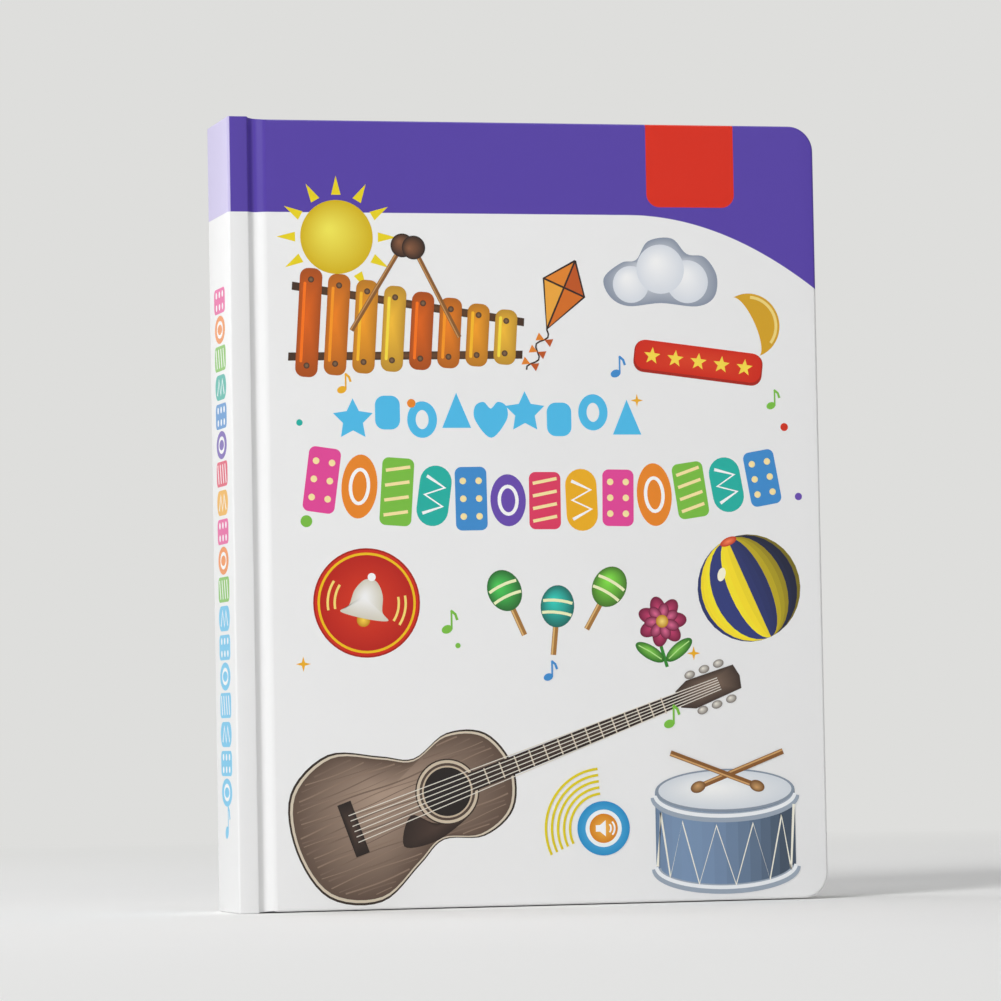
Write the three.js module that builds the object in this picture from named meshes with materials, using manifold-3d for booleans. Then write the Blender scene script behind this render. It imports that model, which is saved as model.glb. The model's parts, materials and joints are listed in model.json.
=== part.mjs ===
// A children's sound book: a case-bound block of stiff board leaves with a battery sound module
// let into its last, thick leaf. Millimetres, +Z up, front cover towards -Y, spine at -X,
// origin at the middle of the footprint.
import * as THREE from "three";
import { mergeVertices } from "three/addons/utils/BufferGeometryUtils.js";
import Module from "manifold-3d";

const wasm = await Module();
wasm.setup();

// Sizes of the closed book
const bookHeight = 290;
const bookWidth = 224;
const bookThickness = 38;

// Case: two boards, the spine with its shoulders, and the grooves between them
const boardThickness = 3;
const shoulderWidth = 8;
const grooveWidth = 5.2;
const grooveDepth = 2;
const boardSetback = 1;
const edgeRound = 1.1;
const coverCornerRadius = 9.5;
const printFilm = 0.15;
const endpaper = 0.3;
const endpaperMargin = 4;
const fitGap = 0.3;

// Page block
const squareMargin = 3;
const leafCount = 12;
const leafGap = 0.25;
const leafGapDepth = 1;
const pageCornerRadius = 7;
const liningThickness = 0.6;
const liningEndMargin = 10;

// Thick last leaf with the sound module
const moduleLeaf = 14;
const lidThickness = 1.5;
const lidFlange = 3;
const housingWall = 1.5;
const housingFloor = 1.2;
const housingCornerRadius = 4;
const moduleAboveFoot = 36;
const bossRadius = 3;
const bossEdge = 2;
const sideLane = 2.55;

// Batteries and their bay
const cellCount = 3;
const cellDiameter = 10.5;
const cellLength = 44.5;
const cellPitch = 11;
const cellClearance = 0.7;
const plateThickness = 0.5;
const springLength = 5.8;
const springTurns = 4;
const springWire = 0.7;

// Speaker, circuit board, switch and wires
const speakerRadius = 20;
const speakerRingWall = 2.2;
const gasketThickness = 0.8;
const boardWidth = 38;
const boardHeight = 42;
const circuitThickness = 1;
const standoffHeight = 3;
const switchTravel = 3;
const knobWidth = 2.6;
const knobDepth = 2.4;
const wireDiameter = 1.2;
const ribbonWidth = 12;
const ribbonThickness = 0.3;

// Places worked out from the sizes
const coverFace = bookThickness / 2 - printFilm;
const coverInside = coverFace - boardThickness;
const spineFaceX = -bookWidth / 2 + printFilm;
const foreX = bookWidth / 2;
const shoulderX = spineFaceX + shoulderWidth;
const boardX = shoulderX + grooveWidth;
const creaseX = (shoulderX + boardX) / 2;
const boardFoot = boardSetback;
const boardHead = bookHeight - boardSetback;
const blockFace = coverInside - endpaper - fitGap;
const blockSpineX = spineFaceX + boardThickness + fitGap + liningThickness;
const blockForeX = foreX - squareMargin;
const blockFoot = boardFoot + squareMargin;
const blockHead = boardHead - squareMargin;
const leafBackY = blockFace - moduleLeaf;
const leafPitch = (leafBackY + blockFace) / leafCount;

// Places inside the module, measured from the housing's spine-side wall
const bayWall = housingWall;
const circuitLeft = housingWall + 4.5;
const circuitRight = circuitLeft + boardWidth;
const speakerRing = speakerRadius + fitGap + speakerRingWall;
const speakerX = circuitRight + 3.5 + speakerRing;
const bayLeft = speakerX + speakerRing + 4 + bayWall;
const plateSlot = 2 * fitGap + plateThickness;
const bayLength = 2 * plateSlot + cellLength + fitGap + springLength;
const bayRight = bayLeft + bayLength;
const bayHalf = ((cellCount - 1) * cellPitch + cellDiameter) / 2 + cellClearance;
const bossInset = bossRadius + bossEdge;
const housingHeight = 2 * (bayHalf + bayWall + sideLane + bossRadius + bossInset);
const housingWidth = bayRight + housingWall;
const housingX = (blockSpineX + blockForeX - housingWidth) / 2;
const housingZ = blockFoot + moduleAboveFoot + housingHeight / 2;
const floorY = leafBackY + housingFloor;
const lidY = blockFace - lidThickness;
const circuitY = floorY + standoffHeight;
const circuitTop = circuitY + circuitThickness;
const doorGap = fitGap;
const doorLap = 1;

const root = new THREE.Group();
root.name = "sound_book";

// Solids from closed geometries, and back
function solid(geometry) {
  const bare = geometry.index ? geometry.toNonIndexed() : geometry.clone();
  bare.deleteAttribute("normal");
  bare.deleteAttribute("uv");
  const merged = mergeVertices(bare, 1e-4);
  const triVerts = new Uint32Array(merged.index.array);
  const vertProperties = merged.attributes.position.array;
  return new wasm.Manifold(new wasm.Mesh({ numProp: 3, vertProperties, triVerts }));
}

function surface(body) {
  const mesh = body.getMesh();
  const geometry = new THREE.BufferGeometry();
  geometry.setAttribute("position", new THREE.BufferAttribute(mesh.vertProperties, 3));
  geometry.setIndex(new THREE.BufferAttribute(mesh.triVerts, 1));
  const flat = geometry.toNonIndexed();
  flat.computeVertexNormals();
  return flat;
}

function cut(body, ...tools) {
  return tools.reduce((rest, tool) => rest.subtract(tool), body);
}

function join(...parts) {
  return parts.reduce((sum, part) => sum.add(part));
}

function add(name, body, material) {
  const geometry = body.isBufferGeometry ? body : surface(body);
  const mesh = new THREE.Mesh(geometry, material);
  mesh.name = name;
  root.add(mesh);
  return mesh;
}

// A rectangle with its own radius at each corner: foot left, foot right, head right, head left
function roundedShape(left, foot, right, head, radii) {
  const [a, b, c, d] = radii;
  const shape = new THREE.Shape();
  shape.moveTo(left + a, foot);
  shape.lineTo(right - b, foot);
  if (b) shape.absarc(right - b, foot + b, b, -Math.PI / 2, 0);
  shape.lineTo(right, head - c);
  if (c) shape.absarc(right - c, head - c, c, 0, Math.PI / 2);
  shape.lineTo(left + d, head);
  if (d) shape.absarc(left + d, head - d, d, Math.PI / 2, Math.PI);
  shape.lineTo(left, foot + a);
  if (a) shape.absarc(left + a, foot + a, a, Math.PI, Math.PI * 1.5);
  return shape;
}

// A shape drawn in X and Z, made solid between two depths
function slab(shape, fromY, toY, segments = 6, round = 0) {
  const geometry = new THREE.ExtrudeGeometry(shape, {
    depth: toY - fromY - 2 * round,
    curveSegments: segments,
    bevelEnabled: round > 0,
    bevelSize: round,
    bevelOffset: -round,
    bevelThickness: round,
    bevelSegments: 3,
  });
  geometry.rotateX(Math.PI / 2);
  geometry.translate(0, toY - round, 0);
  return solid(geometry);
}

function block(left, right, fromY, toY, foot, head) {
  const geometry = new THREE.BoxGeometry(right - left, toY - fromY, head - foot);
  geometry.translate((left + right) / 2, (fromY + toY) / 2, (foot + head) / 2);
  return solid(geometry);
}

// A closed profile of radius and depth pairs, turned about an axis along Y
function turned(profile, x, z, segments = 20) {
  const points = profile.map(([radius, depth]) => new THREE.Vector2(radius, depth));
  if (THREE.ShapeUtils.area(points) < 0) points.reverse();
  if (points.every((point) => point.x > 0)) {
    points.push(points[0].clone());
  } else {
    const start = points.findIndex(
      (point, i) => point.x === 0 && points.at(i - 1).x === 0,
    );
    points.push(...points.splice(0, start));
  }
  const geometry = new THREE.LatheGeometry(points, segments);
  geometry.translate(x, 0, z);
  return solid(geometry);
}

function rod(radius, fromY, toY, x, z, segments = 16) {
  const profile = [[0, fromY], [radius, fromY], [radius, toY], [0, toY]];
  return turned(profile, x, z, segments);
}

// A panel drawn in X and Y, made solid between two heights
function prism(points, foot, head) {
  const shape = new THREE.Shape(points.map(([x, y]) => new THREE.Vector2(x, y)));
  const depth = head - foot;
  const geometry = new THREE.ExtrudeGeometry(shape, { depth, bevelEnabled: false });
  geometry.translate(0, 0, foot);
  return solid(geometry);
}

// Materials
function paint(hex, roughness = 0.5, metalness = 0) {
  return new THREE.MeshStandardMaterial({ color: hex, roughness, metalness });
}
const coverWhite = paint("#f2f2f2", 0.35);
const purplePrint = paint("#533f9f", 0.35);
const redPrint = paint("#d52e00", 0.35);
const pagePaper = paint("#f5f3ee", 0.6);
const leafBoard = paint("#e9e6df", 0.8);
const whitePlastic = paint("#e8e8e4", 0.4);
const blackPlastic = paint("#1c1c1e", 0.45);
const darkCloth = paint("#ddd8cf", 0.9);
const steel = paint("#b9bcc0", 0.35, 1);
const nickel = paint("#c9c7be", 0.3, 1);
const greenBoard = paint("#1f6b3a", 0.5);
const redWire = paint("#b8221c", 0.5);
const blackWire = paint("#222222", 0.5);

// Case
function spineCover() {
  const inner = creaseX - fitGap / 2;
  const wallX = spineFaceX + boardThickness;
  const round = edgeRound;
  const front = [
    [wallX, -coverInside],
    [inner, -coverInside],
    [inner, -coverFace + grooveDepth],
    [shoulderX, -coverFace + 0.2],
    [shoulderX - 0.6, -coverFace],
    [spineFaceX + round, -coverFace],
    [spineFaceX + round * 0.3, -coverFace + round * 0.3],
    [spineFaceX, -coverFace + round],
  ];
  const back = front.map(([x, y]) => [x, -y]).reverse();
  return prism([...front, ...back], 0, bookHeight);
}

function coverOutline(inset = 0) {
  const corner = coverCornerRadius - inset;
  const left = creaseX - coverCornerRadius;
  const radii = [0, corner, corner, 0];
  return roundedShape(left, boardFoot + inset, foreX - inset, boardHead - inset, radii);
}

// One board, with the slope of its half of the groove; side is -1 for the front, 1 for the back
function coverBoard(side) {
  const inner = creaseX + fitGap / 2;
  const far = creaseX - 2 * coverCornerRadius;
  const beyond = coverFace + boardThickness;
  const near = coverInside - boardThickness;
  const depths = [side * coverInside, side * coverFace].sort((a, b) => a - b);
  const board = slab(coverOutline(), depths[0], depths[1], 8, edgeRound);
  const away = [
    [far, side * near],
    [far, side * beyond],
    [boardX, side * beyond],
    [boardX, side * coverFace],
    [inner, side * (coverFace - grooveDepth)],
    [inner, side * near],
  ];
  return cut(board, prism(away, -boardSetback, bookHeight + boardSetback));
}

function linerSheet(side) {
  const depths = [side * coverInside, side * (coverInside - endpaper)].sort((a, b) => a - b);
  const radii = [0, pageCornerRadius, pageCornerRadius, 0];
  const margin = endpaperMargin;
  const shape = roundedShape(
    boardX, boardFoot + margin, foreX - margin, boardHead - margin, radii,
  );
  return slab(shape, depths[0], depths[1]);
}

add("spine_cover", spineCover(), coverWhite);
add("front_cover", coverBoard(-1), coverWhite);
add("back_cover", coverBoard(1), coverWhite);
add("front_endpaper", linerSheet(-1), pagePaper);
add("back_endpaper", linerSheet(1), pagePaper);

// Page block: leaves that stand a little proud of the glued stack, so each edge shows its line
function pageShape(inset = 0) {
  const corner = pageCornerRadius - inset;
  const radii = [0, corner, corner, 0];
  return roundedShape(
    blockSpineX, blockFoot + inset, blockForeX - inset, blockHead - inset, radii,
  );
}

function pageBlock() {
  const core = slab(pageShape(leafGapDepth), -blockFace, leafBackY, 5);
  const leaves = [];
  for (let i = 0; i < leafCount; i += 1) {
    const start = -blockFace + i * leafPitch + (i ? leafGap / 2 : 0);
    const end = -blockFace + (i + 1) * leafPitch - (i < leafCount - 1 ? leafGap / 2 : 0);
    leaves.push(slab(pageShape(), start, end, 5));
  }
  return join(core, ...leaves);
}

const ribbonZ = housingZ;
const ribbonSlot = ribbonWidth / 2 + fitGap;
const slotDepth = ribbonThickness + 2 * fitGap;

function spineLining() {
  const sheet = block(
    blockSpineX - liningThickness, blockSpineX, -blockFace, blockFace,
    blockFoot + liningEndMargin, blockHead - liningEndMargin,
  );
  const notch = block(
    blockSpineX - 2 * liningThickness, blockSpineX + 1, -2 * blockFace, leafBackY + slotDepth,
    ribbonZ - ribbonSlot, ribbonZ + ribbonSlot,
  );
  return cut(sheet, notch);
}

const housingShape = (inset = 0, grow = 0) =>
  roundedShape(
    housingX + inset - grow, housingZ - housingHeight / 2 + inset - grow,
    housingX + housingWidth - inset + grow, housingZ + housingHeight / 2 - inset + grow,
    Array(4).fill(housingCornerRadius - inset + grow),
  );

function moduleFrame() {
  const leaf = slab(pageShape(), leafBackY, blockFace, 5);
  const pocket = slab(housingShape(0, fitGap), leafBackY - 1, blockFace + 1);
  const recess = slab(housingShape(0, lidFlange + fitGap), lidY, blockFace + 1);
  const channel = block(
    blockSpineX - 1, housingX, leafBackY - 1, leafBackY + slotDepth,
    ribbonZ - ribbonSlot, ribbonZ + ribbonSlot,
  );
  return cut(leaf, pocket, recess, channel);
}

add("page_block", pageBlock(), pagePaper);
add("spine_lining", spineLining(), darkCloth);
add("module_frame", moduleFrame(), leafBoard);

// Sound module, with X from the housing's spine-side wall and Z from its middle height
const atX = (x) => housingX + x;
const atZ = (z) => housingZ + z;
const cellZ = (i) => (i - (cellCount - 1) / 2) * cellPitch;
const bayMiddle = (bayLeft + bayRight) / 2;
const doorScrewZ = -(bayHalf + 5.5);
const tongueXs = [bayMiddle - 14, bayMiddle + 14];
const tongueWidth = 8;
const tongueReach = 2.2;
const standoffs = [[circuitLeft + 4, 17], [circuitRight - 4, -17]];
const switchX = (circuitLeft + circuitRight) / 2;
const switchZ = 12;
const corners = [-1, 1].flatMap((side) =>
  [bossInset, housingWidth - bossInset].map((x) => [x, side * (housingHeight / 2 - bossInset)]),
);
const pilotRadius = 1.2;
const shankRadius = 0.9;
const wireHeight = floorY + fitGap + wireDiameter / 2;
const wireHole = wireDiameter / 2 + fitGap;
const tabZ = bayHalf + bayWall + sideLane - wireDiameter / 2 - 0.35;
const speakerTop = lidY - fitGap - gasketThickness - fitGap;
const flangeThickness = 1.2;

function boxAt(left, right, fromY, toY, foot, head) {
  return block(atX(left), atX(right), fromY, toY, atZ(foot), atZ(head));
}

function boss(x, z, toY) {
  const post = rod(bossRadius, floorY - 0.2, toY, atX(x), atZ(z));
  return [post, rod(pilotRadius, floorY + 1, toY + 1, atX(x), atZ(z), 12)];
}

function housing() {
  const outer = slab(housingShape(), leafBackY, lidY);
  const hollow = slab(housingShape(housingWall), floorY, lidY + 1);
  const posts = corners.map(([x, z]) => boss(x, z, lidY));
  posts.push(boss(bayMiddle, doorScrewZ, lidY));
  posts.push(...standoffs.map(([x, z]) => boss(x, z, circuitY)));
  const reach = bayHalf + bayWall;
  const bay = boxAt(bayLeft - bayWall, housingWidth - 0.5, floorY - 0.2, lidY, -reach, reach);
  const ring = rod(speakerRing, floorY - 0.2, lidY - 1, atX(speakerX), atZ(0), 28);
  const ledgeY = speakerTop - flangeThickness - fitGap;
  const body = join(cut(outer, hollow), bay, ring, ...posts.map(([post]) => post));
  const tongueNotch = (x) =>
    boxAt(x - tongueWidth / 2 - fitGap, x + tongueWidth / 2 + fitGap,
      lidY - 1.9, lidY + 1, bayHalf - 1, reach + 1);
  const tabNotch = (x, side) =>
    boxAt(x, x + plateSlot, floorY + 2, floorY + 7,
      side < 0 ? -reach - 1 : bayHalf - 1, side < 0 ? 1 - bayHalf : reach + 1);
  return cut(
    body,
    boxAt(bayLeft, bayRight, floorY, lidY + 1, -bayHalf, bayHalf),
    rod(speakerRadius - 1.8, floorY, lidY, atX(speakerX), atZ(0), 28),
    rod(speakerRadius + fitGap, ledgeY, lidY, atX(speakerX), atZ(0), 28),
    boxAt(speakerX - speakerRing - 1, speakerX - speakerRadius + 4, floorY, lidY, -5, 5),
    boxAt(-1, circuitLeft - 1.2, leafBackY - 1, floorY + 2,
      -ribbonSlot, ribbonSlot),
    ...tongueXs.map(tongueNotch),
    tabNotch(bayLeft, -1),
    tabNotch(bayRight - plateSlot, 1),
    ...posts.map(([, hole]) => hole),
  );
}

// Lid with its door opening, sound holes, switch slot and screw recesses
const screwHead = 2.4;
const screwHeadHeight = 1;
const soundHole = 1.2;
const soundPitch = 4.2;
const soundRings = 3;
const tabHalf = 5;

function doorOutline(grow) {
  const wide = doorLap + grow;
  const foot = doorScrewZ - 4 - grow;
  const shape = new THREE.Shape();
  const left = atX(bayLeft) - wide;
  const right = atX(bayRight) + wide;
  shape.moveTo(left, atZ(-bayHalf - doorLap) - grow);
  shape.lineTo(atX(bayMiddle - tabHalf) - grow, atZ(-bayHalf - doorLap) - grow);
  shape.lineTo(atX(bayMiddle - tabHalf) - grow, atZ(foot));
  shape.lineTo(atX(bayMiddle + tabHalf) + grow, atZ(foot));
  shape.lineTo(atX(bayMiddle + tabHalf) + grow, atZ(-bayHalf - doorLap) - grow);
  shape.lineTo(right, atZ(-bayHalf - doorLap) - grow);
  shape.lineTo(right, atZ(bayHalf + doorLap) + grow);
  shape.lineTo(left, atZ(bayHalf + doorLap) + grow);
  return shape;
}

function screwSeat(x, z) {
  const seatY = blockFace - screwHeadHeight;
  return [
    rod(screwHead + fitGap, seatY, blockFace + 1, atX(x), atZ(z)),
    rod(shankRadius + fitGap, lidY - 1, blockFace + 1, atX(x), atZ(z), 12),
  ];
}

function lid() {
  const plate = slab(housingShape(0, lidFlange), lidY, blockFace);
  const holes = [];
  for (let ringIndex = 0; ringIndex <= soundRings; ringIndex += 1) {
    const count = Math.max(1, 6 * ringIndex);
    for (let i = 0; i < count; i += 1) {
      const turn = (i / count) * Math.PI * 2;
      const x = speakerX + ringIndex * soundPitch * Math.cos(turn);
      const z = ringIndex * soundPitch * Math.sin(turn);
      holes.push(rod(soundHole, lidY - 1, blockFace + 1, atX(x), atZ(z), 8));
    }
  }
  const door = slab(doorOutline(doorGap), lidY - 1, blockFace + 1);
  const slotHalf = knobWidth / 2 + fitGap;
  const slot = boxAt(switchX - slotHalf, switchX + switchTravel + slotHalf, lidY - 1,
    blockFace + 1, switchZ - knobDepth / 2 - fitGap, switchZ + knobDepth / 2 + fitGap);
  return cut(plate, door, slot, ...holes, ...corners.flatMap(([x, z]) => screwSeat(x, z)));
}

function batteryDoor() {
  const plate = slab(doorOutline(0), lidY + 0.05, blockFace);
  const tongues = tongueXs.map((x) => {
    const left = x - tongueWidth / 2;
    const right = x + tongueWidth / 2;
    const hook = boxAt(left, right, lidY - 1.5, lidY - fitGap, bayHalf - 1.3,
      bayHalf + doorLap + tongueReach);
    return join(hook, boxAt(left, right, lidY - 1.5, lidY + 0.5, bayHalf - 1.3, bayHalf + 0.6));
  });
  return cut(join(plate, ...tongues), ...screwSeat(bayMiddle, doorScrewZ));
}

function screw(x, z, seatY, length) {
  const top = seatY + screwHeadHeight - 0.1;
  const tip = seatY - length;
  const profile = [
    [0, tip], [shankRadius * 0.4, tip + 0.4], [shankRadius, tip + 1.2], [shankRadius, seatY],
    [screwHead, seatY], [screwHead, top - 0.35], [screwHead * 0.75, top], [0, top],
  ];
  const recess = [[1.5, 0.25], [0.25, 1.5]].map(([wide, high]) =>
    block(atX(x) - wide, atX(x) + wide, top - 0.7, top + 1, atZ(z) - high, atZ(z) + high));
  const body = turned(profile, atX(x), atZ(z), 14);
  return cut(body, ...recess);
}

add("module_housing", housing(), whitePlastic);
add("module_lid", lid(), whitePlastic);
add("battery_door", batteryDoor(), whitePlastic);
const lidSeat = blockFace - screwHeadHeight;
add("battery_door_screw", screw(bayMiddle, doorScrewZ, lidSeat, 7), steel);
corners.forEach(([x, z], i) => add(`lid_screw_${i + 1}`, screw(x, z, lidSeat, 7), steel));

// Batteries in series: each next cell lies the other way round
class SpringCurve extends THREE.Curve {
  constructor(x, y, z, towards) {
    super();
    this.start = new THREE.Vector3(x, y, z);
    this.towards = towards;
  }

  getPoint(t, target = new THREE.Vector3()) {
    const turn = t * springTurns * Math.PI * 2;
    const radius = THREE.MathUtils.lerp(3.6, 2.2, t);
    const along = this.towards * t * (springLength - springWire);
    return target.set(
      this.start.x + along,
      this.start.y + radius * Math.cos(turn),
      this.start.z + radius * Math.sin(turn),
    );
  }
}

function ringShape(radius, sides) {
  const points = [];
  for (let i = 0; i < sides; i += 1) {
    const turn = (i / sides) * Math.PI * 2;
    points.push(new THREE.Vector2(radius * Math.cos(turn), radius * Math.sin(turn)));
  }
  return new THREE.Shape(points);
}

const cellY = floorY + fitGap + cellDiameter / 2;

function cell(i, nubSide) {
  const r = cellDiameter / 2;
  const half = cellLength / 2;
  const profile = [
    [0, -half], [r - 0.8, -half], [r, -half + 0.8], [r, half - 2], [r - 0.8, half - 1],
    [1.9, half - 1], [1.9, half], [0, half],
  ];
  const points = profile.map(([radius, along]) => new THREE.Vector2(radius, along));
  const geometry = new THREE.LatheGeometry(points, 20);
  geometry.rotateZ(nubSide > 0 ? -Math.PI / 2 : Math.PI / 2);
  const nubEnd = nubSide > 0 ? bayRight - plateSlot - half : bayLeft + plateSlot + half;
  geometry.translate(atX(nubEnd), cellY, atZ(cellZ(i)));
  return solid(geometry);
}

function contact(side, fromCell, toCell, tab) {
  const left = side < 0 ? bayLeft + fitGap : bayRight - fitGap - plateThickness;
  const foot = cellZ(fromCell) - 4.5;
  const head = cellZ(toCell) + 4.5;
  const plate = boxAt(left, left + plateThickness, floorY + fitGap, floorY + 9.5, foot, head);
  if (!tab) return plate;
  const start = tab < 0 ? -tabZ - 0.6 : head - 1;
  const end = tab < 0 ? foot + 1 : tabZ + 0.6;
  return join(plate, boxAt(left, left + plateThickness, floorY + 3, floorY + 6, start, end));
}

for (let i = 0; i < cellCount; i += 1) {
  const nubSide = i % 2 ? 1 : -1;
  add(`battery_cell_${i + 1}`, cell(i, nubSide), paint("#2c2f36", 0.35, 0.3));
  const springX = nubSide > 0 ? bayLeft + plateSlot : bayRight - plateSlot;
  const start = atX(springX + (nubSide > 0 ? springWire / 2 : -springWire / 2));
  const path = new SpringCurve(start, cellY, atZ(cellZ(i)), nubSide);
  const steps = springTurns * 10;
  const section = ringShape(springWire / 2, 6);
  const coil = new THREE.ExtrudeGeometry(section, { steps, extrudePath: path, bevelEnabled: false });
  add(`battery_spring_${i + 1}`, solid(coil), nickel);
}
add("contact_positive", contact(-1, 0, 0, -1), nickel);
add("contact_bridge_1", contact(1, 0, 1, 0), nickel);
add("contact_bridge_2", contact(-1, 1, 2, 0), nickel);
add("contact_negative", contact(1, 2, 2, 1), nickel);

// Speaker behind the sound holes
const basket = [
  [9.2, -4.4], [16.6, -4.4], [17.6, -1.2], [speakerRadius, -1.2], [speakerRadius, 0],
  [16.8, 0], [15.7, -3.4], [9.2, -3.4],
];
const cone = [[0, -0.7], [4, -1.1], [6, -2.2], [15.9, -0.4], [15.9, -0.8], [6, -2.7], [4, -1.6], [0, -1.1]];
const magnet = [[0, -8.6], [8.6, -8.6], [9, -8.2], [9, -4.7], [0, -4.7]];
const facing = (profile) => profile.map(([radius, depth]) => [radius, speakerTop + depth]);
const gasketY = speakerTop + fitGap;
const gasket = [
  [16, gasketY], [speakerRadius, gasketY],
  [speakerRadius, gasketY + gasketThickness], [16, gasketY + gasketThickness],
];
add("speaker_basket", turned(facing(basket), atX(speakerX), atZ(0), 28), steel);
add("speaker_cone", turned(facing(cone), atX(speakerX), atZ(0), 28), paint("#3a3a3c", 0.7));
add("speaker_magnet", turned(facing(magnet), atX(speakerX), atZ(0), 24), steel);
add("speaker_gasket", turned(gasket, atX(speakerX), atZ(0), 28), paint("#2a2a2a", 0.95));

// Circuit board with its chip, connector, capacitor and slide switch
function circuitBoard() {
  const half = boardHeight / 2;
  const plate = boxAt(circuitLeft, circuitRight, circuitY, circuitTop, -half, half);
  const holes = standoffs.map(([x, z]) =>
    rod(shankRadius + fitGap, circuitY - 1, circuitTop + 1, atX(x), atZ(z), 12));
  return cut(plate, ...holes);
}
const knobBase = knobWidth + 1;
const knobFootY = circuitTop + 1.5;
const switchTop = circuitTop + 3.6;
const knobReach = switchTravel + knobWidth / 2 + fitGap;

function switchBody() {
  const can = boxAt(switchX - 4.4, switchX + switchTravel + 4.4, circuitTop, switchTop,
    switchZ - 3, switchZ + 3);
  const well = boxAt(switchX - knobBase / 2 - fitGap, switchX + switchTravel + knobBase / 2 + fitGap,
    knobFootY - fitGap, switchTop - 0.6, switchZ - 2.2, switchZ + 2.2);
  const slot = boxAt(switchX - knobWidth / 2 - fitGap, switchX + knobReach, knobFootY,
    switchTop + 1, switchZ - knobDepth / 2 - fitGap, switchZ + knobDepth / 2 + fitGap);
  return cut(can, well, slot);
}

function switchKnob() {
  const foot = boxAt(switchX - knobBase / 2, switchX + knobBase / 2, knobFootY,
    switchTop - 0.6 - fitGap, switchZ - 1.9, switchZ + 1.9);
  const stem = boxAt(switchX - knobWidth / 2, switchX + knobWidth / 2, knobFootY,
    blockFace - fitGap, switchZ - knobDepth / 2, switchZ + knobDepth / 2);
  return join(foot, stem);
}

const connectorWidth = ribbonWidth + 3;
const mouthY = circuitTop + 1.2;

function connector() {
  const shell = boxAt(circuitLeft + 0.5, circuitLeft + 4.5, circuitTop, circuitTop + 2.4,
    -connectorWidth / 2, connectorWidth / 2);
  const mouth = boxAt(circuitLeft - 1, circuitLeft + 3, mouthY - slotDepth / 2,
    mouthY + slotDepth / 2, -ribbonSlot, ribbonSlot);
  return cut(shell, mouth);
}
const chipX = (circuitLeft + circuitRight) / 2 + 3;
const chip = [[0, 0], [5.5, 0], [5.2, 0.6], [3.8, 1.3], [0, 1.6]];
const can = [[0, 0], [2.5, 0], [2.5, 4.6], [2.2, 5], [0, 5]];
const standing = (profile) => profile.map(([radius, rise]) => [radius, circuitTop + rise]);
add("circuit_board", circuitBoard(), greenBoard);
add("sound_chip", turned(standing(chip), atX(chipX), atZ(-7), 18), blackPlastic);
add("capacitor", turned(standing(can), atX(circuitRight - 5), atZ(8), 16), steel);
add("ribbon_connector", connector(), whitePlastic);
add("switch_body", switchBody(), steel);
add("switch_knob", switchKnob(), blackPlastic);
standoffs.forEach(([x, z], i) => add(`circuit_screw_${i + 1}`, screw(x, z, circuitTop, 3), steel));

// Flat ribbon from the leaves' touch contacts, round the spine edge to the circuit board
function ribbon() {
  const spineX = blockSpineX - slotDepth / 2;
  const channelY = leafBackY + slotDepth / 2;
  const route = new THREE.CatmullRomCurve3(
    [
      [spineX, 1 - blockFace],
      [spineX, channelY - 3],
      [spineX + 0.25, channelY - 0.35],
      [spineX + 2.5, channelY],
      [housingX - 3, channelY],
      [atX(1.6), channelY + 0.1],
      [atX(3.2), (channelY + mouthY) / 2],
      [atX(circuitLeft - 0.6), mouthY],
      [atX(circuitLeft + 2.4), mouthY],
    ].map(([x, y]) => new THREE.Vector3(x, y, 0)),
    false,
    "centripetal",
  );
  const steps = 36;
  const sides = [1, -1].map((side) => {
    const edge = [];
    for (let i = 0; i <= steps; i += 1) {
      const point = route.getPoint(i / steps);
      const along = route.getTangent(i / steps);
      const off = (side * ribbonThickness) / 2;
      edge.push([point.x - along.y * off, point.y + along.x * off]);
    }
    return edge;
  });
  return prism([...sides[0], ...sides[1].reverse()], ribbonZ - ribbonWidth / 2,
    ribbonZ + ribbonWidth / 2);
}

// A thin wire through hand-placed points, each X, Y, Z in module places
function wire(points, steps = 12) {
  const places = points.map(([x, y, z]) => new THREE.Vector3(atX(x), y, atZ(z)));
  const extrudePath = new THREE.CatmullRomCurve3(places, false, "centripetal");
  const section = ringShape(wireDiameter / 2, 8);
  return solid(new THREE.ExtrudeGeometry(section, { steps, extrudePath, bevelEnabled: false }));
}

const padY = circuitTop + fitGap + wireDiameter / 2;
const laneZ = housingHeight / 2 - housingWall - 2.2;
const wireBend = 4;
const wireLift = 0.2;
const padZ = 13;
const basketWallX = speakerX - speakerRadius + 2.1;
const terminalY = speakerTop - 2.8;

function speakerWire(side) {
  return wire([
    [circuitRight - 4, padY, side * 2],
    [circuitRight - 1, padY, side * 2],
    [(circuitRight + basketWallX) / 2, (padY + terminalY) / 2, side * 2.5],
    [basketWallX - 1.2, terminalY, side * 2.5],
    [basketWallX, terminalY, side * 2.5],
  ]);
}

function batteryWire(side, endX) {
  const tabY = floorY + 4.5;
  const along = endX > bayLeft + cellLength ? [bayLeft + 2 * wireBend, endX - 2 * wireBend] : [];
  const run = along.map((x) => [x, tabY, side * tabZ]);
  return wire([
    [circuitRight - 1.5 * wireBend, padY, side * padZ],
    [circuitRight - wireBend / 2, padY, side * (padZ + wireBend / 4)],
    [circuitRight + wireBend / 2, padY - wireLift, side * (padZ + wireBend)],
    [circuitRight + wireBend, wireHeight + wireBend / 2, side * (padZ + 2 * wireBend)],
    [circuitRight + 2.25 * wireBend, wireHeight, side * laneZ],
    [speakerX, wireHeight, side * laneZ],
    [speakerX + speakerRing - 1.5 * wireBend, wireHeight, side * laneZ],
    [speakerX + speakerRing + wireBend / 4, wireHeight + wireBend / 2, side * (tabZ + wireBend / 4)],
    ...run,
    [endX, tabY, side * tabZ],
  ], 26);
}
add("page_ribbon", ribbon(), paint("#c98a3a", 0.4));
add("speaker_wire_red", speakerWire(1), redWire);
add("speaker_wire_black", speakerWire(-1), blackWire);
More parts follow.
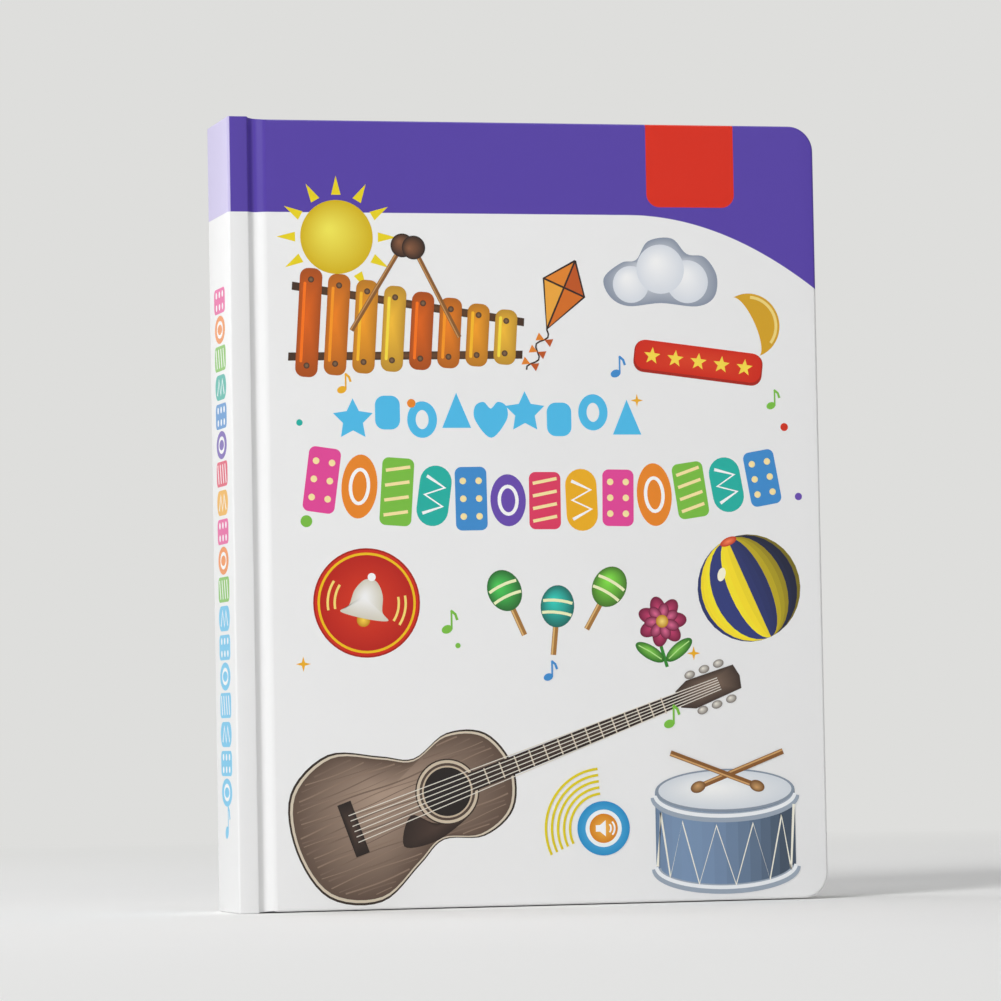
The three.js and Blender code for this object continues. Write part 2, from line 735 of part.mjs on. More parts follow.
add("battery_wire_red", batteryWire(-1, bayLeft - fitGap + 0.3), redWire);
add("battery_wire_black", batteryWire(1, bayRight - plateSlot), blackWire);

// Printed fields: thin laminated layers on the flat faces of the case
const bandDepth = 35;
const bandSweep = 28;
const sweepShare = 0.665;
const tabShare = 0.77;
const tabWidth = 34;
const tabDrop = 32;
const tabCorner = 5;

function coverFilm(side, region) {
  const outer = side * (coverFace + printFilm);
  const depths = [side * coverFace, outer].sort((a, b) => a - b);
  const flat = slab(coverOutline(edgeRound), depths[0], depths[1], 8);
  const keep = block(boardX + edgeRound, foreX, -bookThickness, bookThickness, 0, bookHeight);
  return flat.intersect(keep).intersect(slab(region, -bookThickness, bookThickness, 10));
}

function bandRegion() {
  const foot = bookHeight - bandDepth;
  const bendX = THREE.MathUtils.lerp(boardX, foreX, sweepShare);
  const shape = new THREE.Shape();
  shape.moveTo(boardX - 10, bookHeight + 10);
  shape.lineTo(boardX - 10, foot);
  shape.lineTo(bendX, foot);
  shape.bezierCurveTo(
    bendX + (foreX - bendX) * 0.33, foot,
    foreX - (foreX - bendX) * 0.33, foot - bandSweep * 0.33,
    foreX + 2, foot - bandSweep,
  );
  shape.lineTo(foreX + 10, bookHeight + 10);
  return shape;
}

const tabLeft = THREE.MathUtils.lerp(boardX, foreX, tabShare) - tabWidth / 2;
const tabShape = (grow) =>
  roundedShape(tabLeft - grow, bookHeight - tabDrop - grow, tabLeft + tabWidth + grow,
    bookHeight + 10, [tabCorner + grow, tabCorner + grow, 0, 0]);
const tabRoom = slab(tabShape(0.05), -bookThickness, 0, 10);
add("front_print_band", cut(coverFilm(-1, bandRegion()), tabRoom), purplePrint);
add("front_print_tab", coverFilm(-1, tabShape(0)), redPrint);
const backFoot = bookHeight - bandDepth;
const backRegion = roundedShape(boardX - 10, backFoot, foreX + 10, bookHeight + 10, [0, 0, 0, 0]);
add("back_print_band", coverFilm(1, backRegion), purplePrint);
add("spine_print_band", block(spineFaceX - printFilm, spineFaceX, -coverFace + edgeRound,
  coverFace - edgeRound, bookHeight - bandDepth, bookHeight), purplePrint);

export default root;
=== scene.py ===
import json
import math
import random

import bmesh
import bpy
from bpy.props import FloatProperty, FloatVectorProperty, IntProperty, PointerProperty
from mathutils import Matrix, Vector


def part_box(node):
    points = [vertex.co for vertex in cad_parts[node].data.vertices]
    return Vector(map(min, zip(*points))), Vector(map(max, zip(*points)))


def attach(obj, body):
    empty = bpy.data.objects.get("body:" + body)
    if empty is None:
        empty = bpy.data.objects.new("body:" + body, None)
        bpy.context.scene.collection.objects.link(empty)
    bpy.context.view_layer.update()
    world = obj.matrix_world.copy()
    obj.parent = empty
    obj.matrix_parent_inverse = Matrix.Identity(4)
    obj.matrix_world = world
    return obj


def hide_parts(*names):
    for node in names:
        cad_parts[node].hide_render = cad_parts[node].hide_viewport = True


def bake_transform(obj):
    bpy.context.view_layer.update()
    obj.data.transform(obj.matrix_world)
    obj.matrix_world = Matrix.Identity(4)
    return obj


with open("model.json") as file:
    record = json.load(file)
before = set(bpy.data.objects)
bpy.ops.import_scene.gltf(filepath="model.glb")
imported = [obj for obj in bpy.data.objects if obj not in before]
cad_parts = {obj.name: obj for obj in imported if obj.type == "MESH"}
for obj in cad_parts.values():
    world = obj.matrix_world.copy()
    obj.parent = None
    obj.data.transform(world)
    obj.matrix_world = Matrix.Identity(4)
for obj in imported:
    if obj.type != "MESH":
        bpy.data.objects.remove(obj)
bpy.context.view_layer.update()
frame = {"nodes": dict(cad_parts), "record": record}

bl_info = {
    "name": "Sound Book",
    "version": (1, 0, 0),
    "blender": (4, 5, 0),
    "location": "3D View > Sidebar > Sound Book",
    "description": "Dresses a hardback children's sound book: printed case, leaves, art and sound module",
    "category": "Object",
}

MM = 0.001

# Places taken from the frame
SPINE_LO, SPINE_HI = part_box("spine_cover")
FRONT_LO, FRONT_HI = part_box("front_cover")
BLOCK_LO, BLOCK_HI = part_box("page_block")
TAB_LO, TAB_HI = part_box("front_print_tab")
FIELD_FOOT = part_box("spine_print_band")[0][2]
DOOR_LO, DOOR_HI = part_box("battery_door")
LID_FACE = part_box("module_lid")[1][1]
KNOB_LO, KNOB_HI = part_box("switch_knob")

FACE_Y = FRONT_LO[1]
INSIDE_Y = FRONT_HI[1]
CREASE_X = (SPINE_HI[0] + FRONT_LO[0]) / 2
FORE_X = FRONT_HI[0]
HEIGHT = SPINE_HI[2]
BOARD_HEAD = FRONT_HI[2]
PAGE_Y = BLOCK_LO[1]

# The print's layout: where the purple starts to drop, as a share of the cover, and the tab's corners
SWEEP_START = 0.66
TAB_CORNER = 5 * MM

# The endpapers' grid of spots, with the spots' size and soft rim as shares of the grid
SPOT_PITCH = 12 * MM
SPOT_RADIUS = 0.2
SPOT_SOFT = 0.02

# Seeds of the leaves' and the blocks' small random shifts
LEAF_SEED = 11
BLOCK_SEED = 5

# Thickness of one printed film on the case and on the first leaf, and the top of the spine's row in mm
CASE_FILM = 0.012 * MM
LEAF_FILM = 0.006 * MM
SPINE_ROW_TOP = 224

# The words by the switch
WORD_HEIGHT = 3.2 * MM
WORD_RELIEF = 0.12 * MM

# Tones that the finishes mix in, as linear colours
SMUDGE = (0.25, 0.24, 0.23)
FIBRE = (0.62, 0.59, 0.53)

# Lamps: name, place, aim, width in metres and power in watts
LAMPS = (
    ("left_softbox", (-3.45, -3.05, 2.45), (0, 0, 0.12), 1.6, 166),
    ("left_wall_glow", (-0.95, 1.1, 0.75), (-0.1, 0, 0.15), 1.0, 5),
    ("front_fill", (0.9, -3.6, 1.6), (0, 0, 0.15), 2.4, 12),
    ("top_softbox", (-0.2, 0.3, 3.6), (0, 0.3, 0.1), 3.0, 50),
)
SKY_TINT = (0.97, 0.985, 1.0)
SKY_STRENGTH = 0.08
FLOOR_RADIUS = 14.0

# The photograph's viewpoint, fitted to the corners of the book, and the film's width in mm
VIEWPOINT = Vector((-0.4692, -1.7974, 0.0590))
FILM_WIDTH = 36
FARTHEST_VIEW = 50


def ink(code):
    """A colour written as a web code, as the linear values that a shader reads."""
    channels = (int(code[i:i + 2], 16) / 255 for i in (1, 3, 5))
    return tuple(c / 12.92 if c < 0.04045 else ((c + 0.055) / 1.055) ** 2.4 for c in channels)


def length(label, words, size):
    return FloatProperty(name=label, description=words, default=size, unit="LENGTH", precision=5)


def colour(label, words, code):
    return FloatVectorProperty(name=label, description=words, default=ink(code), size=3,
                               subtype="COLOR", min=0, max=1)


class CaseSettings(bpy.types.PropertyGroup):
    edge: length("Edge round", "Radius of the boards' wrapped edges", 1.2 * MM)
    corner: length("Corner radius", "Radius of the boards' fore-edge corners", 9.5 * MM)
    groove: length("Groove width", "Width of the joint groove at the outer face", 5.2 * MM)
    groove_depth: length("Groove depth", "Depth of the joint groove", 1.7 * MM)
    spine_corner: length("Spine corner", "Radius of the spine's long edges", 0.9 * MM)
    clearance: length("Clearance", "Height of the boards' feet above the floor", 0.4 * MM)
    wrap: length("Wrap thickness", "Thickness of the paper in the joint groove", 0.5 * MM)
    white: colour("Cover white", "Laminated white of the case", "#f3f3f3")
    purple: colour("Head purple", "Printed field over the head of the case", "#533ca5")
    # Painted reflection: a paler purple that stands for glare on the spine's gloss, laid on the spine's own
    # face
    glare_lavender: colour("Spine lavender", "Paler print on the spine's own face", "#c6bde6")
    red: colour("Tab red", "Printed tab on the front cover", "#df2400")
    sweep: length("Sweep", "How far the purple field drops at the fore edge", 27.5 * MM)


class PageSettings(bpy.types.PropertyGroup):
    leaves: IntProperty(name="Leaves", description="Stiff leaves in the block", default=12, min=1)
    gap: length("Leaf gap", "Gap between two leaves at their edges", 0.16 * MM)
    corner: length("Page corner", "Radius of the leaves' fore-edge corners", 7.0 * MM)
    jitter: length("Jitter", "How far leaves stand out of line", 0.12 * MM)


class StageSettings(bpy.types.PropertyGroup):
    paper: colour("Floor", "Pale paper that the book stands on", "#f8f8f7")
    backdrop: colour("Backdrop", "Pale background that the floor fades into", "#dededc")
    fade_start: length("Fade start", "Where the floor starts to fade into the background", 0.34)
    fade_end: length("Fade end", "Where the floor is all background", 1.4)
    lens: FloatProperty(name="Lens", description="Camera focal length", default=179.8, unit="CAMERA")
    yaw: FloatProperty(name="Yaw", description="Camera turn to the left of the front cover",
                       default=math.radians(14.43), subtype="ANGLE")
    pitch: FloatProperty(name="Pitch", description="Camera tilt above the horizon",
                         default=math.radians(2.81), subtype="ANGLE")
    roll: FloatProperty(name="Roll", description="Camera roll", default=math.radians(1.05),
                        subtype="ANGLE")


# Meshes
def mesh_object(name, verts, faces, material=None, smooth=None):
    """A new mesh object at the origin, with its normals pointing out."""
    mesh = bpy.data.meshes.new(name)
    mesh.from_pydata([tuple(v) for v in verts], [], faces)
    grid = bmesh.new()
    grid.from_mesh(mesh)
    bmesh.ops.recalc_face_normals(grid, faces=grid.faces)
    grid.to_mesh(mesh)
    grid.free()
    obj = bpy.data.objects.new(name, mesh)
    bpy.context.scene.collection.objects.link(obj)
    if material:
        mesh.materials.append(material)
    if smooth is not None:
        shade(obj, smooth)
    return obj


def shade(obj, degrees=35):
    """Smooth shading, with edges sharper than an angle kept crisp."""
    mesh = obj.data
    grid = bmesh.new()
    grid.from_mesh(mesh)
    for face in grid.faces:
        face.smooth = True
    for edge in grid.edges:
        edge.smooth = len(edge.link_faces) == 2 and edge.calc_face_angle(0) < math.radians(degrees)
    grid.to_mesh(mesh)
    grid.free()


def loft(name, rings, material, smooth=35):
    """A closed body through rings of equal count, with a flat cap at each end."""
    count = len(rings[0])
    verts = [point for ring in rings for point in ring]
    faces = []
    for row in range(len(rings) - 1):
        for i in range(count):
            j = (i + 1) % count
            a, b = row * count, (row + 1) * count
            faces.append((a + i, a + j, b + j, b + i))
    faces.append(tuple(reversed(range(count))))
    last = (len(rings) - 1) * count
    faces.append(tuple(range(last, last + count)))
    return mesh_object(name, verts, faces, material, smooth)


def arc(cx, cy, radius, start, end, steps):
    """Points along an arc, in degrees."""
    turns = [math.radians(start + (end - start) * i / steps) for i in range(steps + 1)]
    return [(cx + radius * math.cos(t), cy + radius * math.sin(t)) for t in turns]


def board_outline(left, foot, right, head, hinge_radius, fore_radius, steps=14):
    """A board's outline, counter-clockwise from its hinge-side foot."""
    points = arc(left + hinge_radius, foot + hinge_radius, hinge_radius, 180, 270, 4)
    points += arc(right - fore_radius, foot + fore_radius, fore_radius, 270, 360, steps)
    points += arc(right - fore_radius, head - fore_radius, fore_radius, 0, 90, steps)
    points += arc(left + hinge_radius, head - hinge_radius, hinge_radius, 90, 180, 4)
    return points


def rounded_board(name, box, depths, hinge_radius, fore_radius, edge, material):
    """A flat board with rounded edges, between two depths along Y."""
    left, foot, right, head = box
    near, far = depths
    steps = 6
    rings = []
    turns = [math.radians(90 * i / steps) for i in range(steps + 1)]
    profile = [(edge * (1 - math.sin(t)), near + edge * (1 - math.cos(t))) for t in turns]
    profile += [(edge * (1 - math.cos(t)), far - edge * (1 - math.sin(t))) for t in turns]
    for inset, y in profile:
        outline = board_outline(
            left + inset, foot + inset, right - inset, head - inset,
            max(hinge_radius - inset, 0.05 * MM), fore_radius - inset,
        )
        rings.append([(x, y, z) for x, z in outline])
    return loft(name, rings, material)


# Materials
class Recipe:
    """Builds one procedural material on the piece's own Object coordinates."""

    def __init__(self, name, roughness=0.5, metallic=0.0, specular=0.5):
        self.material = bpy.data.materials.new(name)
        self.material.use_nodes = True
        self.tree = self.material.node_tree
        self.tree.nodes.clear()
        output = self.tree.nodes.new("ShaderNodeOutputMaterial")
        self.shader = self.tree.nodes.new("ShaderNodeBsdfPrincipled")
        self.tree.links.new(self.shader.outputs["BSDF"], output.inputs["Surface"])
        self.shader.inputs["Roughness"].default_value = roughness
        self.shader.inputs["Metallic"].default_value = metallic
        self.shader.inputs["Specular IOR Level"].default_value = specular
        self.place = self.tree.nodes.new("ShaderNodeTexCoord").outputs["Object"]
        split = self.tree.nodes.new("ShaderNodeSeparateXYZ")
        self.tree.links.new(self.place, split.inputs[0])
        self.x, self.y, self.z = split.outputs[:]

    def feed(self, socket, value):
        if isinstance(value, bpy.types.NodeSocket):
            self.tree.links.new(value, socket)
        elif hasattr(value, "__len__") and len(value) == 3 and socket.type == "RGBA":
            socket.default_value = (*value, 1)
        else:
            socket.default_value = value

    def math(self, operation, *values):
        node = self.tree.nodes.new("ShaderNodeMath")
        node.operation = operation
        for socket, value in zip(node.inputs, values):
            self.feed(socket, value)
        return node.outputs[0]

    def reach(self, first, second):
        """The length of a vector with two parts."""
        squares = [self.math("MULTIPLY", part, part) for part in (first, second)]
        return self.math("SQRT", self.math("ADD", *squares))

    def mix(self, share, first, second):
        node = self.tree.nodes.new("ShaderNodeMix")
        node.data_type = "RGBA"
        self.feed(node.inputs[0], share)
        self.feed(node.inputs[6], first)
        self.feed(node.inputs[7], second)
        return node.outputs[2]

    def noise(self, scale, detail=3.0, stretch=(1, 1, 1)):
        mapping = self.tree.nodes.new("ShaderNodeMapping")
        mapping.inputs["Scale"].default_value = stretch
        self.tree.links.new(self.place, mapping.inputs[0])
        node = self.tree.nodes.new("ShaderNodeTexNoise")
        node.inputs["Scale"].default_value = scale
        node.inputs["Detail"].default_value = detail
        self.tree.links.new(mapping.outputs[0], node.inputs["Vector"])
        return node.outputs["Fac"]

    def span(self, value, low, high, start=0.0, end=1.0):
        node = self.tree.nodes.new("ShaderNodeMapRange")
        for socket, number in zip(node.inputs, (value, low, high, start, end)):
            self.feed(socket, number)
        return node.outputs[0]

    def above(self, value, limit, soft=0.00008):
        """1 where a value is over a limit, with a softened step."""
        step = self.math("SUBTRACT", value, limit)
        return self.span(step, -soft, soft)

    def bump(self, height, strength, distance=0.0002):
        node = self.tree.nodes.new("ShaderNodeBump")
        node.inputs["Strength"].default_value = strength
        node.inputs["Distance"].default_value = distance
        self.feed(node.inputs["Height"], height)
        self.tree.links.new(node.outputs[0], self.shader.inputs["Normal"])

    def finish(self, base, roughness=None):
        self.feed(self.shader.inputs["Base Color"], base)
        if roughness is not None:
            self.feed(self.shader.inputs["Roughness"], roughness)
        return self.material

    def mottled(self, base, scale, amount):
        """A base colour that darkens a little in soft patches."""
        patches = self.span(self.noise(scale), 0.35, 0.7, 0.0, amount)
        return self.mix(patches, base, SMUDGE)


def laminate(recipe, base):
    """Gloss film over coated paper: faint mottling, a rippled skin and uneven gloss."""
    recipe.shader.inputs["Specular IOR Level"].default_value = 0.32
    recipe.bump(recipe.noise(340, detail=1), strength=0.006)
    gloss = recipe.span(recipe.noise(60, detail=1), 0.1, 0.9, 0.27, 0.33)
    return recipe.finish(recipe.mottled(base, 30, 0.01), gloss)


def case_material(name, case, front):
    """White laminate with the purple head field; the front also has its sweep and red tab."""
    recipe = Recipe(name)
    field_foot = FIELD_FOOT
    if front:
        bend = CREASE_X + (FORE_X - CREASE_X) * SWEEP_START
        along = recipe.span(recipe.x, bend, FORE_X)
        drop = recipe.math("MULTIPLY", recipe.math("MULTIPLY", along, along), case.sweep)
        field_foot = recipe.math("SUBTRACT", FIELD_FOOT, drop)
    purple = recipe.mix(recipe.span(recipe.x, SPINE_LO[0], FORE_X), case.purple,
                        tuple(c * 1.06 for c in case.purple))
    # Painted reflection: on the spine's own face the purple gives way to the paler glare tint
    off_spine = recipe.above(recipe.x, SPINE_LO[0] + case.spine_corner)
    purple = recipe.mix(off_spine, case.glare_lavender, purple)
    base = recipe.mix(recipe.above(recipe.z, field_foot), case.white, purple)
    if front:
        middle = (TAB_LO[0] + TAB_HI[0]) / 2
        half = (TAB_HI[0] - TAB_LO[0]) / 2
        corner = TAB_CORNER
        across = recipe.math("ABSOLUTE", recipe.math("SUBTRACT", recipe.x, middle))
        dx = recipe.math("MAXIMUM", recipe.math("SUBTRACT", across, half - corner), 0.0)
        below = recipe.math("SUBTRACT", TAB_LO[2] + corner, recipe.z)
        dz = recipe.math("MAXIMUM", below, 0.0)
        inside = recipe.math("SUBTRACT", corner, recipe.reach(dx, dz))
        base = recipe.mix(recipe.above(inside, 0.0), base, case.red)
    return laminate(recipe, base)


def printed_ink():
    """Printed colour from the shapes' own tints, under the same gloss film."""
    recipe = Recipe("printed_ink")
    tint = recipe.tree.nodes.new("ShaderNodeVertexColor")
    tint.layer_name = "tint"
    return laminate(recipe, tint.outputs["Color"])


def plastic(name, code, roughness=0.42, grain=900):
    recipe = Recipe(name)
    recipe.bump(recipe.noise(grain, detail=2), strength=0.08, distance=0.0001)
    gloss = recipe.span(recipe.noise(120), 0.3, 0.7, roughness - 0.05, roughness + 0.07)
    return recipe.finish(recipe.mottled(ink(code), 70, 0.03), gloss)


def metal(name, code, roughness=0.3, stretch=(1, 1, 12)):
    recipe = Recipe(name, metallic=1.0)
    recipe.bump(recipe.noise(500, detail=2, stretch=stretch), strength=0.06, distance=0.0001)
    streaks = recipe.noise(260, detail=3, stretch=stretch)
    gloss = recipe.span(streaks, 0.3, 0.7, roughness - 0.08, roughness + 0.1)
    return recipe.finish(recipe.mottled(ink(code), 150, 0.12), gloss)


def board_material(name, code, fibre=0.35):
    """Coated board: pale faces, with long fibres showing along its cut edges."""
    recipe = Recipe(name)
    facing = recipe.tree.nodes.new("ShaderNodeSeparateXYZ")
    normal = recipe.tree.nodes.new("ShaderNodeNewGeometry").outputs["True Normal"]
    recipe.tree.links.new(normal, facing.inputs[0])
    cut = recipe.span(recipe.math("ABSOLUTE", facing.outputs[1]), 0.4, 0.9, 1.0, 0.06)
    fibres = recipe.noise(260, detail=4, stretch=(1, 9, 1))
    recipe.bump(fibres, strength=0.04, distance=0.0001)
    layers = recipe.math("MULTIPLY", recipe.span(fibres, 0.4, 0.75, 0.0, fibre), cut)
    base = recipe.mix(layers, ink(code), FIBRE)
    return recipe.finish(base, recipe.span(recipe.noise(60), 0.3, 0.7, 0.5, 0.62))


def endpaper_material():
    """Pale blue endpaper with a grid of white spots."""
    recipe = Recipe("endpaper_spots")
    cell = [recipe.math("FRACT", recipe.math("DIVIDE", axis, SPOT_PITCH))
            for axis in (recipe.x, recipe.z)]
    dx, dz = (recipe.math("SUBTRACT", share, 0.5) for share in cell)
    spot = recipe.above(SPOT_RADIUS, recipe.reach(dx, dz), SPOT_SOFT)
    base = recipe.mix(spot, ink("#a9d8ee"), ink("#f7f7f4"))
    recipe.bump(recipe.noise(500, detail=3), strength=0.06, distance=0.0001)
    return recipe.finish(recipe.mottled(base, 60, 0.04), 0.48)


def cloth_material():
    recipe = Recipe("lining_weave", roughness=0.9)
    pitch = 0.8 * MM
    waves = [recipe.math("SINE", recipe.math("MULTIPLY", axis, 2 * math.pi / pitch))
             for axis in (recipe.y, recipe.z)]
    weave = recipe.math("MAXIMUM", *waves)
    recipe.bump(weave, strength=0.5, distance=0.0003)
    base = recipe.mix(recipe.span(weave, -1.0, 1.0), ink("#b9b2a4"), ink("#e4dfd4"))
    return recipe.finish(base)


def circuit_material():
    recipe = Recipe("circuit_mask", roughness=0.35)
    pitch = 1.6 * MM
    stripe = recipe.math("FRACT", recipe.math("DIVIDE", recipe.math("ADD", recipe.x, recipe.z), pitch))
    track = recipe.above(stripe, 0.62, 0.04)
    base = recipe.mix(track, ink("#15582c"), ink("#23784a"))
    recipe.bump(track, strength=0.2, distance=0.0001)
    return recipe.finish(recipe.mottled(base, 300, 0.1))


def cell_material():
    """Battery sleeve: dark shrink film with a copper-coloured end."""
    recipe = Recipe("battery_sleeve", roughness=0.3)
    lo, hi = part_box("battery_cell_1")
    stripe = recipe.above(recipe.x, lo[0] + (hi[0] - lo[0]) * 0.72, 0.0002)
    base = recipe.mix(stripe, ink("#20242c"), ink("#b9793f"))
    recipe.bump(recipe.noise(300, detail=2), strength=0.05, distance=0.0001)
    gloss = recipe.span(recipe.noise(80), 0.3, 0.7, 0.24, 0.38)
    return recipe.finish(recipe.mottled(base, 90, 0.08), gloss)


# Case
def spine_profile(case):
    """The spine's cross-section in X and Y: a channel with rounded corners."""
    wall, lip = 3.0 * MM, 1.1 * MM
    left, near = SPINE_LO[:2]
    edge = CREASE_X - case.groove / 2
    outer = case.spine_corner
    points = [(left + wall, INSIDE_Y), (edge, INSIDE_Y)]
    points += arc(edge - lip, near + lip, lip, 0, -90, 5)
    points += arc(left + outer, near + outer, outer, 270, 180, 8)
    mirrored = [(x, -y) for x, y in reversed(points)]
    return points + mirrored


def inset_ring(points, inset):
    """A closed outline moved inwards along its own normals."""
    moved = []
    area = sum(a[0] * b[1] - b[0] * a[1] for a, b in zip(points, points[1:] + points[:1]))
    side = 1 if area > 0 else -1
    for i, (x, y) in enumerate(points):
        ax, ay = points[i - 1]
        bx, by = points[(i + 1) % len(points)]
        tangent = Vector((bx - ax, by - ay)).normalized()
        moved.append((x - side * tangent.y * inset, y + side * tangent.x * inset))
    return moved


class SOUNDBOOK_OT_case(bpy.types.Operator):
    """Make the spine, both cover boards and the paper in the two grooves"""

    bl_idname = "soundbook.case"
    bl_label = "Case"

    def execute(self, context):
        case = context.scene.soundbook_case
        front = case_material("front_laminate", case, True)
        plain = case_material("case_laminate", case, False)
        profile = spine_profile(case)
        end_round, steps = 0.7 * MM, 4
        turns = [math.radians(90 * i / steps) for i in range(steps + 1)]
        rings = [(end_round * (1 - math.sin(turn)), end_round * (1 - math.cos(turn))) for turn in turns]
        stack = rings + [(inset, HEIGHT - z) for inset, z in reversed(rings)]
        body = [[(x, y, z) for x, y in inset_ring(profile, inset)] for inset, z in stack]
        spine = loft("spine_wrap", body, plain, 40)
        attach(spine, "book")
        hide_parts("spine_cover", "spine_print_band")
        hinge_corner = 0.8 * MM
        left = CREASE_X + case.groove / 2
        box = (left, case.clearance, FORE_X, BOARD_HEAD)
        for side, name, body, nodes, skin in (
            (-1, "front_board", "front", ("front_cover", "front_print_band", "front_print_tab"), front),
            (1, "back_board", "back", ("back_cover", "back_print_band"), plain),
        ):
            depths = sorted((side * abs(FACE_Y), side * abs(INSIDE_Y)))
            board = rounded_board(name, box, depths, hinge_corner, case.corner, case.edge, skin)
            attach(board, body)
            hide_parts(*nodes)
            self.groove(case, side, body, skin)
        return {"FINISHED"}

    def groove(self, case, side, body, skin):
        """The paper that dips from the shoulder and rises to its cover."""
        lap = 1.6 * MM
        start, end = CREASE_X - case.groove / 2 - lap, CREASE_X + case.groove / 2 + lap
        across, along = 24, 8
        low, steepness = 0.42, 2.4
        rise, trim, foot_step = 0.015 * MM, 0.3 * MM, 0.2 * MM
        face = abs(FACE_Y) - rise
        outer, feet = [], []
        for i in range(across + 1):
            share = i / across
            reach = share / low if share < low else (1 - share) / (1 - low)
            dip = math.sin(math.pi / 2 * reach) ** steepness
            outer.append((start + (end - start) * share, side * (face - dip * case.groove_depth)))
            feet.append(trim + (case.clearance + foot_step) * share)
        inner = [(x, y - side * case.wrap) for x, y in reversed(outer)]
        section, feet = outer + inner, feet + feet[::-1]
        heads = [BOARD_HEAD + (HEIGHT - BOARD_HEAD) * (1 - (x - start) / (end - start)) - trim
                 for x, _ in section]
        rings = [[(x, y, foot + (head - foot) * step / along)
                  for (x, y), foot, head in zip(section, feet, heads)] for step in range(along + 1)]
        strip = loft("front_groove_paper" if side < 0 else "back_groove_paper", rings, skin, 50)
        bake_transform(strip)


# Leaves
def row_tree(material):
    """A node tree that repeats one shape along a line, each a touch out of line."""
    tree = bpy.data.node_groups.new("repeat_in_a_row", "GeometryNodeTree")
    sockets = (("Geometry", "NodeSocketGeometry"), ("Count", "NodeSocketInt"),
               ("Step", "NodeSocketVector"), ("Jitter", "NodeSocketFloat"))
    for name, kind in sockets:
        tree.interface.new_socket(name, in_out="INPUT", socket_type=kind)
    tree.interface.new_socket("Geometry", in_out="OUTPUT", socket_type="NodeSocketGeometry")
    nodes, links = tree.nodes, tree.links
    given = nodes.new("NodeGroupInput")
    row = nodes.new("GeometryNodeMeshLine")
    links.new(given.outputs["Count"], row.inputs["Count"])
    links.new(given.outputs["Step"], row.inputs["Offset"])
    copies = nodes.new("GeometryNodeInstanceOnPoints")
    links.new(row.outputs[0], copies.inputs["Points"])
    links.new(given.outputs["Geometry"], copies.inputs["Instance"])
    chance = nodes.new("FunctionNodeRandomValue")
    chance.data_type = "FLOAT_VECTOR"
    chance.inputs["Min"].default_value = (-1, 0, -0.5)
    chance.inputs["Max"].default_value = (0.2, 0, 0.5)
    chance.inputs["Seed"].default_value = LEAF_SEED
    scale = nodes.new("ShaderNodeVectorMath")
    scale.operation = "SCALE"
    links.new(chance.outputs["Value"], scale.inputs[0])
    links.new(given.outputs["Jitter"], scale.inputs["Scale"])
    shift = nodes.new("GeometryNodeTranslateInstances")
    links.new(copies.outputs[0], shift.inputs["Instances"])
    links.new(scale.outputs[0], shift.inputs["Translation"])
    real = nodes.new("GeometryNodeRealizeInstances")
    links.new(shift.outputs[0], real.inputs[0])
    paint = nodes.new("GeometryNodeSetMaterial")
    paint.inputs["Material"].default_value = material
    links.new(real.outputs[0], paint.inputs["Geometry"])
    links.new(paint.outputs[0], nodes.new("NodeGroupOutput").inputs[0])
    return tree


def run_tree(obj, tree, **values):
    """Applies a node tree to an object and leaves a plain mesh."""
    modifier = obj.modifiers.new("repeat", "NODES")
    modifier.node_group = tree
    for item in tree.interface.items_tree:
        if item.in_out == "INPUT" and item.name in values:
            modifier[item.identifier] = values[item.name]
    context = bpy.context
    context.view_layer.update()
    evaluated = obj.evaluated_get(context.evaluated_depsgraph_get())
    mesh = bpy.data.meshes.new_from_object(evaluated)
    obj.modifiers.remove(modifier)
    obj.data = mesh
    return obj


class SOUNDBOOK_OT_leaves(bpy.types.Operator):
    """Make the stiff leaves and the glued stack inside them"""

    bl_idname = "soundbook.leaves"
    bl_label = "Leaves"

    def execute(self, context):
        pages = context.scene.soundbook_pages
        board = board_material("page_board", "#f6f4ee", 0.3)
        depth = BLOCK_HI[1] - BLOCK_LO[1]
        pitch = depth / pages.leaves
        trim, fore_trim, leaf_edge = 0.1 * MM, 0.05 * MM, 0.3 * MM
        box = (BLOCK_LO[0], BLOCK_LO[2] + trim, BLOCK_HI[0] - fore_trim, BLOCK_HI[2] - trim)
        half_gap = pages.gap / 2
        leaf = rounded_board(
            "page_leaves", box, (PAGE_Y + half_gap, PAGE_Y + pitch - half_gap),
            leaf_edge, pages.corner, leaf_edge, None)
        run_tree(leaf, row_tree(board), Count=pages.leaves, Step=(0, pitch, 0), Jitter=pages.jitter)
        shade(leaf, 40)
        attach(leaf, "book")
        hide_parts("page_block")
        inset, spine_inset, cover_inset, core_edge = 1.0 * MM, 0.4 * MM, 0.3 * MM, 0.1 * MM
        core_box = (box[0] + spine_inset, box[1] + inset, box[2] - inset, box[3] - inset)
        core = rounded_board(
            "page_core", core_box, (PAGE_Y + cover_inset, BLOCK_HI[1] - cover_inset),
            leaf_edge, pages.corner, core_edge, board_material("glued_core", "#cfc8ba", 0.5))
        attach(core, "book")
        return {"FINISHED"}


